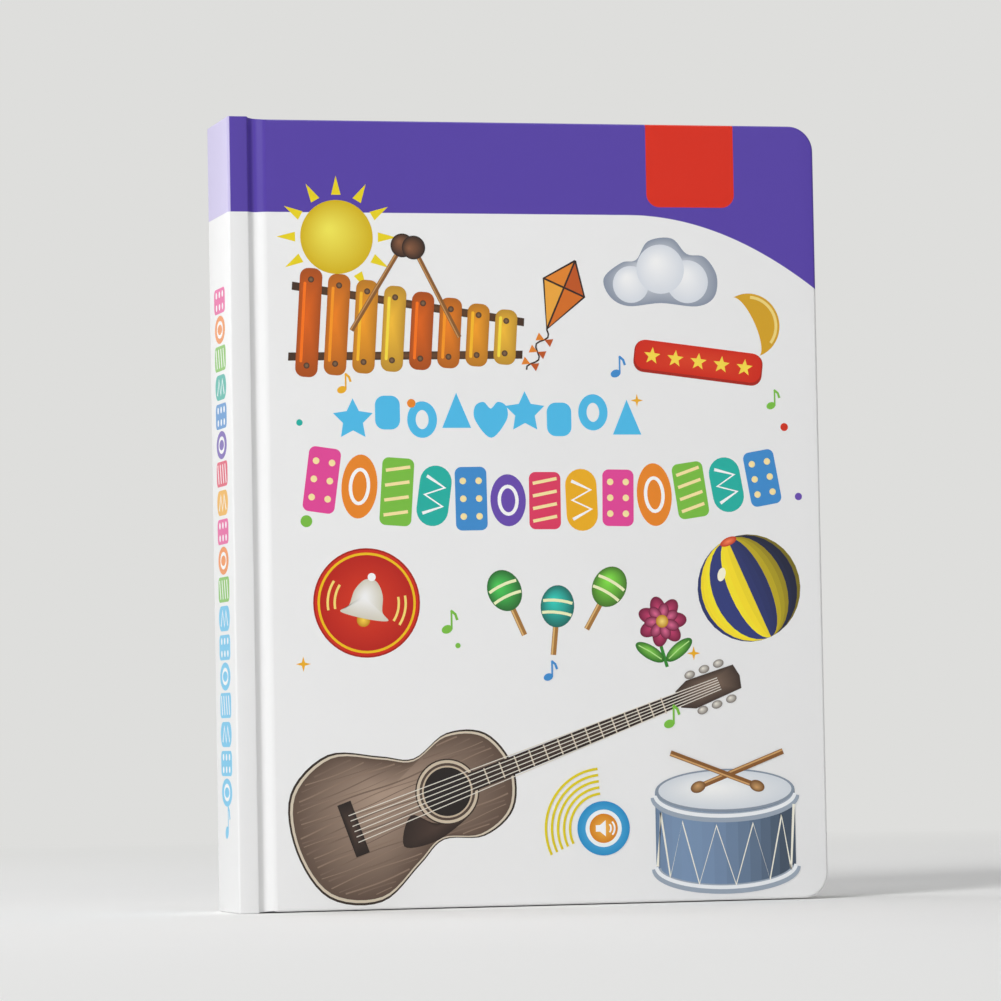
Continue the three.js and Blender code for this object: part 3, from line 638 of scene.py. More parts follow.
# Printed shapes
class Print:
    """Flat printed shapes in one mesh, in millimetres. Each lies one film above what it covers."""

    def __init__(self, name, origin, across, up, out, film=CASE_FILM):
        self.name, self.film = name, film
        self.origin, self.across, self.up, self.out = (Vector(v) for v in (origin, across, up, out))
        self.verts, self.faces, self.tints, self.boxes = [], [], [], []

    def lift(self, points, beside):
        """How high a shape lies. One drawn beside the last shape lies as high as that."""
        us, vs = zip(*points)
        box = (min(us), min(vs), max(us), max(vs))
        if beside:
            level = self.boxes[-1][0]
        else:
            under = [n for n, b in self.boxes
                     if b[0] < box[2] and box[0] < b[2] and b[1] < box[3] and box[1] < b[3]]
            level = 1 + max(under, default=0)
        self.boxes.append((level, box))
        return level * self.film

    def ring(self, points, height, tint):
        for u, v in points:
            self.verts.append(self.origin + (self.across * u + self.up * v) * MM + self.out * height)
            self.tints.append(tint)

    def shape(self, outline, rim, core=None, aim=(0, 0), beside=False):
        """A filled outline. With a core colour it turns from the rim's to the core's inwards."""
        rim = ink(rim)
        core = ink(core) if core else rim
        count, start = len(outline), len(self.verts)
        cu = sum(p[0] for p in outline) / count
        cv = sum(p[1] for p in outline) / count
        height = self.lift(outline, beside)
        self.ring(outline, -self.film, rim)
        shares = (0,) if core == rim else (0, 0.14, 0.32, 0.55, 0.8, 0.93)
        for share in shares:
            points = [(cu + (u - cu) * (1 - share) + aim[0] * share,
                       cv + (v - cv) * (1 - share) + aim[1] * share) for u, v in outline]
            self.ring(points, height, tuple(a + (b - a) * share for a, b in zip(rim, core)))
        for row in range(len(shares)):
            a = start + row * count
            for i in range(count):
                j = (i + 1) % count
                self.faces.append((a + i, a + j, a + count + j, a + count + i))
        for first in (start, start + len(shares) * count):
            self.faces.append(tuple(range(first, first + count)))

    def strip(self, path, width, tint, close=False, beside=False):
        """A line of one width along a path."""
        count = len(path)
        left, right = [], []
        for i, (u, v) in enumerate(path):
            a = path[i - 1] if close or i else path[0]
            b = path[(i + 1) % count] if close or i < count - 1 else path[-1]
            run = Vector((b[0] - a[0], b[1] - a[1])).normalized() * width / 2
            left.append((u - run.y, v + run.x))
            right.append((u + run.y, v - run.x))
        start = len(self.verts)
        top, low = self.lift(left + right, beside), -self.film
        for points, height in ((left, top), (right, top), (right, low), (left, low)):
            self.ring(points, height, ink(tint))
        edges = [start + k * count for k in range(4)]
        for i in range(count if close else count - 1):
            j = (i + 1) % count
            for a, b in zip(edges, edges[1:] + edges[:1]):
                self.faces.append((a + i, a + j, b + j, b + i))
        if not close:
            for i in (0, count - 1):
                self.faces.append(tuple(edge + i for edge in edges))

    def build(self, material):
        obj = mesh_object(self.name, self.verts, self.faces, material)
        tint = obj.data.color_attributes.new("tint", "FLOAT_COLOR", "POINT")
        for item, value in zip(tint.data, self.tints):
            item.color = (*value, 1)
        return obj


class Spot:
    """A place on a print, with its own middle, tilt and scale to draw from."""

    def __init__(self, page, u, v, tilt=0, scale=1.0):
        self.page, self.place = page, (u, v, tilt, scale)

    def shape(self, outline, rim, core=None, aim=(0, 0), beside=False):
        aim = moved([aim], 0, 0, *self.place[2:])[0]
        self.page.shape(moved(outline, *self.place), rim, core, aim, beside)

    def strip(self, path, width, tint, close=False, beside=False):
        self.page.strip(moved(path, *self.place), width * self.place[3], tint, close, beside)


# Outlines
def moved(points, u, v, tilt=0, scale=1.0):
    c, s = math.cos(math.radians(tilt)) * scale, math.sin(math.radians(tilt)) * scale
    return [(u + x * c - y * s, v + x * s + y * c) for x, y in points]


def ellipse(u, v, ru, rv=None, tilt=0, steps=36):
    points = arc(0, 0, 1, 0, 360, steps)[:-1]
    return moved([(ru * x, (rv or ru) * y) for x, y in points], u, v, tilt)


def pill(u, v, wide, high, radius, tilt=0, steps=6):
    radius = min(radius, wide / 2 - 0.01, high / 2 - 0.01)
    w, h = wide / 2 - radius, high / 2 - radius
    points = []
    for cx, cy, start in ((w, -h, 270), (w, h, 0), (-w, h, 90), (-w, -h, 180)):
        points += arc(cx, cy, radius, start, start + 90, steps)
    return moved(points, u, v, tilt)


def star(u, v, outer, inner, tips, tilt=90):
    radii = [inner if i % 2 else outer for i in range(tips * 2)]
    points = [(r * math.cos(math.pi * i / tips), r * math.sin(math.pi * i / tips))
              for i, r in enumerate(radii)]
    return moved(points, u, v, tilt)


def smooth_outline(knots, steps=6):
    """A closed smooth outline through a few given points."""
    points = []
    count = len(knots)
    for i in range(count):
        p = [Vector(knots[(i + k - 1) % count]) for k in range(4)]
        for j in range(steps):
            t = j / steps
            a = 2 * p[1] + (p[2] - p[0]) * t
            b = (2 * p[0] - 5 * p[1] + 4 * p[2] - p[3]) * t * t
            c = (3 * p[1] - p[0] - 3 * p[2] + p[3]) * t ** 3
            points.append(tuple((a + b + c) * 0.5))
    return points


def inside(point, outline):
    u, v = point
    odd = False
    for (au, av), (bu, bv) in zip(outline, outline[1:] + outline[:1]):
        if (av > v) != (bv > v) and u < au + (v - av) / (bv - av) * (bu - au):
            odd = not odd
    return odd


def stretches(path, outline):
    """The stretches of a path that lie inside an outline."""
    run = []
    for point in path + [None]:
        if point and inside(point, outline):
            run.append(point)
        else:
            if len(run) > 2:
                yield run
            run = []


def shaded(code, share):
    """A colour made darker or lighter by a share, as a web code."""
    channels = (int(code[i:i + 2], 16) for i in (1, 3, 5))
    return "#" + "".join("%02x" % max(0, min(255, round(c * share))) for c in channels)


# Motifs, each drawn in millimetres about its own middle
RAINBOW = ("#e8489b", "#f08a24", "#7cc242", "#1fb4a6", "#3f8fd2", "#6a4bb0", "#e23b62", "#f3b31c")


def draw_note(spot, tint):
    """A quaver, 10 high"""
    spot.shape(ellipse(0, 0, 3, 2.2, 20, 16), tint)
    spot.strip([(2.5, 0), (2.5, 10)], 1, tint)
    spot.strip([(2.2, 9.8), (4.6, 7.8), (5.6, 4.8)], 1.4, tint)


def draw_sun(spot):
    for i in range(12):
        spot.shape(moved([(15.5, -1.8), (22.5, 0), (15.5, 1.8)], 0, 0, i * 30), "#f0d818", beside=i > 0)
    spot.shape(ellipse(0, 0, 13.6, steps=48), "#d9b608", "#fbf05a", (-3, 3))


def draw_xylophone(spot):
    """Orange and yellow bars on two dark rails, with two beaters"""
    for side in (-1, 1):
        rail = [(-44, side * 13 - 1.5), (44, side * 6 - 1.5), (44, side * 6 + 1.5), (-44, side * 13 + 1.5)]
        spot.shape(rail, "#3d2412", "#6b4526", beside=side > 0)
    bars = [(-37 + i * 10.6, 40 - i * 2.8, ("#d55f0c", "#e57d16", "#ee9a20", "#f4b636")[i % 4])
            for i in range(8)]
    for i, (x, high, tint) in enumerate(bars):
        spot.shape(pill(x, 0, 8.4, high, 3.2), shaded(tint, 0.8), shaded(tint, 1.08), (-1, 3), i > 0)
    for i, (x, high, tint) in enumerate(bars):
        spot.shape(pill(x - 2.2, 0, 1.1, high * 0.74, 0.5), shaded(tint, 1.25), beside=i > 0)
    for i, (x, high, tint) in enumerate(bars):
        for side in (-1, 1):
            spot.shape(ellipse(x, side * (high / 2 - 4.2), 1.15, steps=14), "#3a2212", "#8a6a4c",
                       beside=i > 0 or side > 0)
    for x, tilt in ((-12, 62), (10, 121)):
        stick = Spot(spot, x, 15, tilt)
        stick.strip([(-19, 0), (15, 0)], 1.7, "#8a5a2b")
        stick.strip([(-19, 0.4), (15, 0.4)], 0.5, "#c69257")
        stick.shape(ellipse(18, 0, 4.4, steps=28), "#1d110a", "#8a5a3c", (0.6, 1.8))


def draw_cloud(spot):
    puffs = ((-17, -3), (-19, 3), (-13, 8), (-8, 9), (-4, 15), (4, 16), (9, 11), (15, 10), (19, 4),
             (18, -3), (12, -6), (0, -5), (-11, -6))
    spot.shape(smooth_outline(puffs), "#8d97a9", "#f7f9fc", (-1, 3))
    for u, v, r in ((-10, 1, 6), (9, 2, 7), (0, 6, 8)):
        spot.shape(ellipse(u, v, r), "#dfe4ec", "#ffffff", (-1.5, 2.5))


def draw_moon(spot):
    outer = arc(0, 0, 12, -100, 100, 26)
    inner = [(x * 0.32 - 1.4, y) for x, y in arc(0, 0, 12, 84, -84, 20)]
    spot.shape(outer + inner, "#d9a520")
    spot.strip(arc(0, 0, 10.6, -62, 62, 24), 1.1, "#f6dc83")


def draw_kite(spot):
    """A kite in four panels with a bowed tail"""
    tip, left, right, foot, middle = (0, 13), (-8.5, 2), (8.5, 2), (0, -15), (0, 2)
    panels = ((tip, left, middle, "#e8872a"), (tip, right, middle, "#c2561a"),
              (foot, left, middle, "#f3ab3e"), (foot, right, middle, "#d9701f"))
    for i, (a, b, c, tint) in enumerate(panels):
        spot.shape([a, b, c], tint, beside=i > 0)
    for line in ([tip, foot], [left, right], [tip, left, foot, right, tip]):
        spot.strip(line, 0.7, "#2c1a10")
    tail = [(1.6 * math.sin(i * 0.9), -15 - i * 1.3) for i in range(14)]
    spot.strip(tail, 0.6, "#2c1a10")
    for i in range(3, 13, 4):
        u, v = tail[i]
        spot.shape([(u, v), (u - 3, v + 1.6), (u - 3, v - 1.6)], "#e8872a")
        spot.shape([(u, v), (u + 3, v + 1.6), (u + 3, v - 1.6)], "#c2561a")


def draw_ribbon(spot):
    """A red pill with a row of yellow stars"""
    spot.shape(pill(0, 0, 50, 12, 4), "#a91c06")
    spot.shape(pill(0, 0.6, 49, 11, 3.8), "#d42409", "#e0401f")
    for i in range(5):
        spot.shape(star(-18 + i * 9, 0.4, 3.3, 1.4, 5), "#ffe14d", beside=i > 0)


def draw_badge(spot):
    """A round red badge with a yellow ring and a white bell"""
    for radius, rim, core in ((20, "#a8150a", None), (19.4, "#d42a12", None), (18.4, "#f5c518", None),
                              (17.5, "#bb1b0c", "#e13a1c")):
        spot.shape(ellipse(0, 0, radius, steps=56), rim, core)
    bell = smooth_outline([(-9, -5), (-6.4, -2.2), (-5.4, 3.6), (-2.8, 7.8), (0, 8.8), (2.8, 7.8),
                           (5.4, 3.6), (6.4, -2.2), (9, -5), (0, -5.8)])
    tilted = Spot(spot, 0, 0, -12)
    tilted.shape(ellipse(0, -6.4, 2.5, steps=20), "#c98d12", "#ffd94f")
    tilted.shape(bell, "#d8d2c0", "#ffffff", (-1.4, 1))
    tilted.shape(ellipse(0, 9.6, 1.5, steps=18), "#ffffff")
    for side in (-1, 1):
        for reach in (12, 14.6):
            middle = 90 - 90 * side
            swing = arc(0, 0, reach, middle - 22, middle + 22, 8)
            tilted.strip(swing, 0.9, "#ffe27a", beside=reach > 12)


def draw_ball(spot, radius=20):
    """A ball with yellow and dark blue gores, shaded from its lit side"""
    slices = 24
    edge = [-90 + 180 * i / slices for i in range(slices + 1)]
    lats = [math.radians(-90 + 180 * k / 16) for k in range(17)]

    def meridian(degrees):
        across = math.sin(math.radians(degrees))
        return [(radius * math.cos(lat) * across, radius * math.sin(lat)) for lat in lats]

    for i in range(slices):
        light = 0.5 + 0.6 * max(0.0, math.cos(math.radians((edge[i] + edge[i + 1]) / 2 + 35)))
        tint = "#f3d92a" if (i // 3) % 2 else "#2c3670"
        outline = meridian(edge[i + 1]) + meridian(edge[i])[-2:0:-1]
        spot.shape(outline, shaded(tint, light), beside=i > 0)
    spot.shape(ellipse(0, radius * 0.95, 3.4, 1.5, 0, 20), "#c93312", "#ff8a5c")
    spot.shape(ellipse(-radius * 0.38, radius * 0.45, 2.6, 1.5, 50, 20), "#fffbe0")


def draw_maraca(spot, tint):
    spot.strip([(0, -5), (0, -18)], 2.1, "#a8763a")
    spot.strip([(-0.5, -5), (-0.5, -18)], 0.6, "#e2b877")
    spot.shape(ellipse(0, 0, 6.4, 7.8, 0, 32), shaded(tint, 0.62), shaded(tint, 1.3), (-1.8, 2.4))
    for i, v in enumerate((-2.2, 2.2)):
        band = [(u, v - 0.012 * u * u * 1.6) for u in (-5.6, -3.6, -1.4, 1.4, 3.6, 5.6)]
        spot.strip(band, 1.1, "#f4f6c4", beside=i > 0)


def draw_guitar(spot):
    """A large grey-brown guitar with grain, frets and strings"""
    body = smooth_outline([
        (-58, 0), (-53, 19), (-36, 27), (-19, 20), (-8, 15), (6, 19), (19, 14), (24, 0),
        (19, -14), (6, -19), (-8, -15), (-19, -20), (-36, -27), (-53, -19),
    ])
    spot.shape(body, "#33271f")
    spot.shape([(x * 0.983 - 0.3, y * 0.972) for x, y in body], "#d8cbb6")
    top = [(x * 0.962 - 0.65, y * 0.94) for x, y in body]
    spot.shape(top, "#5f4c40", "#b29a87", (-7, 7))
    first = True
    for i in range(25):
        v = -24 + i * 2
        line = [(u, v + 0.5 * math.sin(u * 0.16 + i * 1.9)) for u in range(-57, 24, 2)]
        for run in stretches(line, [(x * 0.97 - 0.5, y * 0.96) for x, y in top]):
            spot.strip(run, 0.3 + 0.12 * (i % 3), "#7a6557" if i % 2 else "#8d7766", beside=not first)
            first = False
    guard = smooth_outline([(-16, -3), (-22, -12), (-12, -14.5), (-2, -12.5), (4, -9.5), (-8, -9)])
    spot.shape(guard, "#2b1f19", "#4a3830")
    for radius, tint in ((11.4, "#3a2c24"), (10.9, "#d3c3ac"), (9.9, "#54443a"), (9.0, "#c9b79f"),
                         (8.4, "#1d1512")):
        spot.shape(ellipse(-1, 0, radius, steps=44), tint)
    spot.shape([(8, -3.3), (88, -2.6), (88, 2.6), (8, 3.3)], "#2b1f1a", "#46362e")
    spot.shape([(88, -3), (93, -5.2), (111, -4.4), (112, 0), (111, 4.4), (93, 5.2), (88, 3)],
               "#3b2d26", "#806a5a", (2, 1))
    for i in range(3):
        for side in (-1, 1):
            spot.shape(ellipse(95 + i * 5.6, side * 6.6, 2, 1.4, 0, 16), "#77706a", "#f2ede2", (-0.3, 0.5),
                       beside=i > 0 or side > 0)
    for i in range(14):
        u = 14 + i * 5.9 - i * i * 0.05
        spot.strip([(u, -2.9), (u, 2.9)], 0.5, "#c9bda8", beside=i > 0)
    spot.shape([(-39, -9.5), (-34, -9.5), (-34, 9.5), (-39, 9.5)], "#1f1511", "#4a382f")
    for i in range(6):
        off = (i - 2.5) * 0.85
        spot.strip([(-36.5, off * 2.3), (104, off)], 0.3, "#e8e2d6", beside=i > 0)


def draw_drum(spot):
    """A blue-grey drum with white lacing and two sticks"""
    wide, high, dip = 27, 30, 8

    def half(level, start, steps=30):
        return [(wide * x, level + dip * y) for x, y in arc(0, 0, 1, start, start + 180, steps)]

    slices = 18
    for i in range(slices):
        a, b = (math.radians(180 + 180 * k / slices) for k in (i, i + 1))
        light = 0.62 + 0.5 * max(0.0, math.cos((a + b) / 2 - math.radians(235)))
        wall = [(wide * math.cos(t), level + dip * math.sin(t))
                for t, level in ((a, -high / 2), (b, -high / 2), (b, high / 2), (a, high / 2))]
        spot.shape(wall, shaded("#6f86a3", light), beside=i > 0)
    for lift, width, tint in ((0, 3.6, "#9fabba"), (0.6, 1.4, "#f4f7fa")):
        for i, level in enumerate((-high / 2 + 1.6, high / 2 - 2)):
            spot.strip(half(level + lift, 180), width, tint, beside=i > 0)
    lacing = []
    count = 11
    for i in range(count + 1):
        turn = math.radians(184 + 172 * i / count)
        level = high / 2 - 5 if i % 2 else -high / 2 + 3
        lacing.append(((wide - 0.4) * math.cos(turn), level + dip * math.sin(turn)))
    spot.strip(lacing, 1.0, "#f7f3e4")
    spot.shape(ellipse(0, high / 2, wide, dip, 0, 48), "#8b97a6")
    spot.shape(ellipse(0, high / 2 + 0.2, wide - 1.2, dip - 0.8, 0, 48), "#d9dfe6", "#fdfdfb", (-6, 1))
    for x, tilt in ((-9, 21), (11, 159)):
        stick = Spot(spot, x, high / 2 + 2, tilt)
        stick.strip([(0, 0), (34, 0)], 2.1, "#8a5a2b")
        stick.strip([(0, 0.5), (34, 0.5)], 0.6, "#d3a46a")
        stick.shape(ellipse(-1.5, 0, 3, 2.1, 0, 18), "#6f4520", "#d3a46a", (0, 0.6))


def draw_flower(spot):
    """A crimson flower on a green stem with two leaves"""
    spot.strip([(0, 0), (-1.8, -9), (0.6, -20)], 1.5, "#2f8a2c")
    for side in (-1, 1):
        leaf = Spot(spot, side * 6.6, -13, side * 35)
        leaf.shape(ellipse(0, 0, 7.4, 3, 0, 24), "#1f6a1c", "#86d353", (-1, 0.8))
        leaf.strip([(-6, 0), (0, 0.3), (6, 0)], 0.5, "#b9e88f")
    for ring, size in ((0, 1.0), (1, 0.72)):
        for i in range(7):
            petal = Spot(spot, 0, 0, 360 * (i + ring / 2) / 7, size)
            petal.shape(ellipse(6.2, 0, 5, 3.4, 0, 24), "#6f1238", "#c8406f" if ring == 0 else "#e06a94")
    spot.shape(ellipse(0, 0, 2.8, steps=24), "#c4850d", "#ffe27a")


def draw_sound_spot(spot):
    """The touch spot, 10 in radius: a loudspeaker sign in a blue ring, with yellow sound arcs"""
    for i in range(5):
        spot.strip(arc(0, 0, 12.8 + 2.3 * i, 95, 205, 22), 0.9, "#e2cf1c", beside=i > 0)
    spot.shape(ellipse(0, 0, 10, steps=44), "#2791cb", "#62c2ee")
    spot.shape(ellipse(0, 0, 6.9, steps=40), "#f6fbfd")
    spot.shape(ellipse(0, 0, 5.4, steps=36), "#dd8410", "#f7bb4c")
    horn = [(-3, -1.2), (-1.4, -1.2), (0.8, -3), (0.8, 3), (-1.4, 1.2), (-3, 1.2)]
    spot.shape(horn, "#ffffff")
    for reach in (2.2, 3.6):
        spot.strip(arc(0.6, 0, reach, -42, 42, 8), 0.65, "#ffffff", beside=reach > 2.2)


def draw_block(spot, kind, wide, high, tint, light):
    """One toy block, with spots, a ring, bars or a zigzag"""
    if kind == 1:
        spot.shape(ellipse(0, 0, wide * 0.56, high * 0.47), tint)
        spot.strip(ellipse(0, 0, wide * 0.28, high * 0.25, 0, 24), 1.3, light, close=True)
        return
    spot.shape(pill(0, 0, wide, high, wide * 0.5 if kind == 3 else 2.4), tint)
    if kind == 0:
        for k in range(6):
            dot = ellipse((k % 2 - 0.5) * wide * 0.5, (k // 2 - 1) * high * 0.28, 1.25, steps=14)
            spot.shape(dot, light, beside=k > 0)
    elif kind == 2:
        for k in range(4):
            y = (k - 1.5) * high * 0.22
            spot.strip([(-wide * 0.38, y - 0.6), (wide * 0.38, y + 1.2)], 1.2, light, beside=k > 0)
    else:
        zigzag = [(wide * (0.6 * (k % 2) - 0.3), (k / 4 - 0.5) * high * 0.62) for k in range(5)]
        spot.strip(zigzag, 1.2, light)


def draw_blocks(spot, count, pitch, wide, high, sag):
    """A row of bright toy blocks along a sagging line"""
    rng = random.Random(BLOCK_SEED)
    for i in range(count):
        share = 2 * i / (count - 1) - 1
        place = Spot(spot, share * pitch * (count - 1) / 2, sag * share * share,
                     share * 9 + rng.uniform(-4, 4))
        light = "#ffffff" if i % 2 else "#ffe9a8"
        draw_block(place, i % 4, wide, high * rng.uniform(0.86, 1.1), RAINBOW[i % len(RAINBOW)], light)


def draw_blue_shapes(spot, count, pitch, high):
    """A row of plain sky-blue shapes"""
    sky = "#4fc0ef"
    heart = [(0, -0.5), (0.44, -0.02), (0.44, 0.36), (0.2, 0.48), (0, 0.3), (-0.2, 0.48),
             (-0.44, 0.36), (-0.44, -0.02)]
    for i in range(count):
        place = Spot(spot, (i - (count - 1) / 2) * pitch, 1.6 if i % 2 else -1.0)
        kind = i % 5
        if kind == 0:
            place.shape(star(0, 0, high * 0.58, high * 0.29, 5), sky)
        elif kind == 1:
            place.shape(pill(0, 0, pitch * 0.72, high * 0.92, 3.4), sky)
        elif kind == 2:
            place.strip(ellipse(0, 0, pitch * 0.31, high * 0.38, 0, 30), 3.2, sky, close=True)
        elif kind == 3:
            place.shape([(0, high * 0.54), (-pitch * 0.42, -high * 0.42), (pitch * 0.42, -high * 0.42)], sky)
        else:
            place.shape(moved(smooth_outline(heart), 0, 0, 0, high), sky)


# Small printed marks, each with its place in millimetres, a size (a maraca: its tilt) and a tint
DOTS = ((54, 185, 1.6, "#f08a24"), (197, 176, 1.5, "#d42c0c"), (14, 142, 2.2, "#7cc242"),
        (202, 150, 1.4, "#6a4bb0"), (70, 96, 1.0, "#7cc242"), (12, 178, 1.2, "#1fb4a6"))
SPARKS = ((12, 90, 2.8, "#f3b31c"), (160, 92, 2.6, "#f3b31c"), (140, 186, 2.4, "#f3b31c"))
NOTES = ((28, 190, 0.6, "#f3b31c"), (132, 196, 0.65, "#3f8fd2"), (192, 184, 0.6, "#7cc242"),
         (66, 102, 0.7, "#7cc242"), (104, 84, 0.6, "#3f8fd2"), (150, 66, 0.7, "#7cc242"))

MARACAS = ((88, 116, 24, "#3fa64a"), (108, 110, -6, "#2aa79a"), (128, 117, -30, "#6cb83c"))


def draw_cover(page):
    """The generic picture on the front cover"""
    draw_sun(Spot(page, 27, 246))
    draw_xylophone(Spot(page, 53, 212, -4))
    draw_kite(Spot(page, 112, 226, -24))
    draw_cloud(Spot(page, 150, 228, 0, 1.15))
    draw_moon(Spot(page, 184, 214, 24))
    draw_ribbon(Spot(page, 164, 200, -7))
    draw_blue_shapes(Spot(page, 84, 180), 9, 13, 13.5)
    draw_blocks(Spot(page, 104, 149), 13, 14, 12, 23, 8)
    draw_badge(Spot(page, 36, 112))
    draw_ball(Spot(page, 182, 116, 24))
    for u, v, tilt, tint in MARACAS:
        draw_maraca(Spot(page, u, v, tilt), tint)
    draw_guitar(Spot(page, 66, 43, 20, 1.06))
    draw_drum(Spot(page, 171, 26))
    draw_flower(Spot(page, 148, 104, 4, 0.85))
    draw_sound_spot(Spot(page, 124, 28))
    for u, v, size, tint in DOTS:
        page.shape(ellipse(u, v, size, steps=18), tint)
    for u, v, size, tint in SPARKS:
        page.shape(star(u, v, size, size * 0.3, 4), tint)
    for u, v, size, tint in NOTES:
        draw_note(Spot(page, u, v, 0, size), tint)


def draw_back(page):
    """A lighter picture on the back cover"""
    draw_xylophone(Spot(page, 104, 170, 6, 1.2))
    for i, tint in enumerate(("#3fa64a", "#f08a24", "#3f8fd2")):
        draw_maraca(Spot(page, 82 + i * 24, 112, 22 - i * 22, 1.1), tint)
    draw_blocks(Spot(page, 105, 44), 11, 14, 12, 21, 6)
    draw_badge(Spot(page, 172, 222, 0, 0.8))
    for i, (u, v) in enumerate(((34, 222), (52, 238), (26, 128), (184, 122), (60, 72), (150, 74))):
        draw_note(Spot(page, u, v, 0, 0.9), RAINBOW[i])


def draw_spine(page, top):
    """A column of small bright shapes down the spine"""
    pitch, rows = 10.6, 18
    for i in range(rows):
        tint = RAINBOW[i % len(RAINBOW)] if i < 11 else "#63c6ef"
        draw_block(Spot(page, 0, top - i * pitch, 90), i % 4, 9.2, 20, tint, "#ffffff")
    draw_note(Spot(page, -1, top - rows * pitch - 4, 0, 1.0), "#63c6ef")


def draw_first_leaf(page, wide, high):
    """Toys on pale panels, each with its touch spot"""
    page.shape(pill(wide / 2, high / 2, wide - 8, high - 8, 7), "#d5ecf6")
    toys = ((draw_ball, 0, 0.95), (draw_flower, 6, 1.3), (draw_drum, -2, 0.8),
            (draw_cloud, 0, 1.3), (draw_xylophone, 0, 0.62), (draw_sun, 0, 0.95))
    places = [(wide * (0.28 + 0.45 * column), high * (0.2 + 0.29 * row)) for row in range(3)
              for column in range(2)]
    for i, (u, v) in enumerate(places):
        page.shape(pill(u, v, 84, 68, 8), "#fdfdfb", beside=i > 0)
    for (u, v), (draw, rise, size) in zip(places, toys):
        draw(Spot(page, u - 6, v + 4 + rise, 0, size))
        draw_sound_spot(Spot(page, u + 29, v - 22, 0, 0.62))


class SOUNDBOOK_OT_print(bpy.types.Operator):
    """Lay the generic printed shapes on the case and on the first leaf"""

    bl_idname = "soundbook.printing"
    bl_label = "Printing"

    def execute(self, context):
        skin = printed_ink()
        left = CREASE_X + context.scene.soundbook_case.groove / 2
        up = (0, 0, 1)
        front = Print("cover_picture", (left, FACE_Y, 0), (1, 0, 0), up, (0, -1, 0))
        back = Print("back_picture", (FORE_X, -FACE_Y, 0), (-1, 0, 0), up, (0, 1, 0))
        spine = Print("spine_picture", (SPINE_LO[0], 0, 0), (0, -1, 0), up, (-1, 0, 0))
        leaf_face = PAGE_Y + context.scene.soundbook_pages.gap / 2
        leaf = Print("first_leaf_picture", (BLOCK_LO[0], leaf_face, BLOCK_LO[2]), (1, 0, 0), up,
                     (0, -1, 0), LEAF_FILM)
        draw_cover(front)
        draw_back(back)
        draw_spine(spine, SPINE_ROW_TOP)
        draw_first_leaf(leaf, (BLOCK_HI[0] - BLOCK_LO[0]) / MM, (BLOCK_HI[2] - BLOCK_LO[2]) / MM)
        for page, body, slot in ((front, "front", "cover_laminate"), (back, "back", "cover_laminate"),
                                 (spine, "book", "cover_laminate"), (leaf, "book", "page_board")):
            piece = page.build(skin)
            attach(piece, body)
        return {"FINISHED"}


# Carried-over pieces
class SOUNDBOOK_OT_finishes(bpy.types.Operator):
    """Give every carried-over piece its own finish"""

    bl_idname = "soundbook.finishes"
    bl_label = "Finishes"

    def execute(self, context):
        skins = {
            "endpaper": endpaper_material(),
            "lining_cloth": cloth_material(),
            "module_leaf": board_material("module_leaf", "#efede6", 0.3),
            "white_plastic": plastic("white_moulding", "#ecece8"),
            "black_plastic": plastic("black_moulding", "#17171a", 0.48),
            "screw_steel": metal("screw_zinc", "#b4b5b8", 0.3),
            "battery_sleeve": cell_material(),
            "contact_metal": metal("contact_nickel", "#cfccc2", 0.26),
            "speaker_steel": metal("speaker_zinc", "#a9abaf", 0.34),
            "speaker_cone": board_material("speaker_paper", "#2c2c2f", 0.1),
            "gasket_foam": plastic("gasket_foam", "#1d1d1e", 0.85, 1600),
            "circuit_green": circuit_material(),
            "ribbon_film": plastic("ribbon_film", "#c08a3c", 0.3, 300),
            "wire_red": plastic("wire_red", "#c22a20", 0.4),
            "wire_black": plastic("wire_black", "#202022", 0.42),
        }
        for part in frame["record"]["subparts"]:
            skin = skins.get(part["material_slot"])
            if skin is None:
                continue
            node = frame["nodes"][part["node"]]
            for slot in node.material_slots:
                slot.link = "OBJECT"
                slot.material = skin
        return {"FINISHED"}


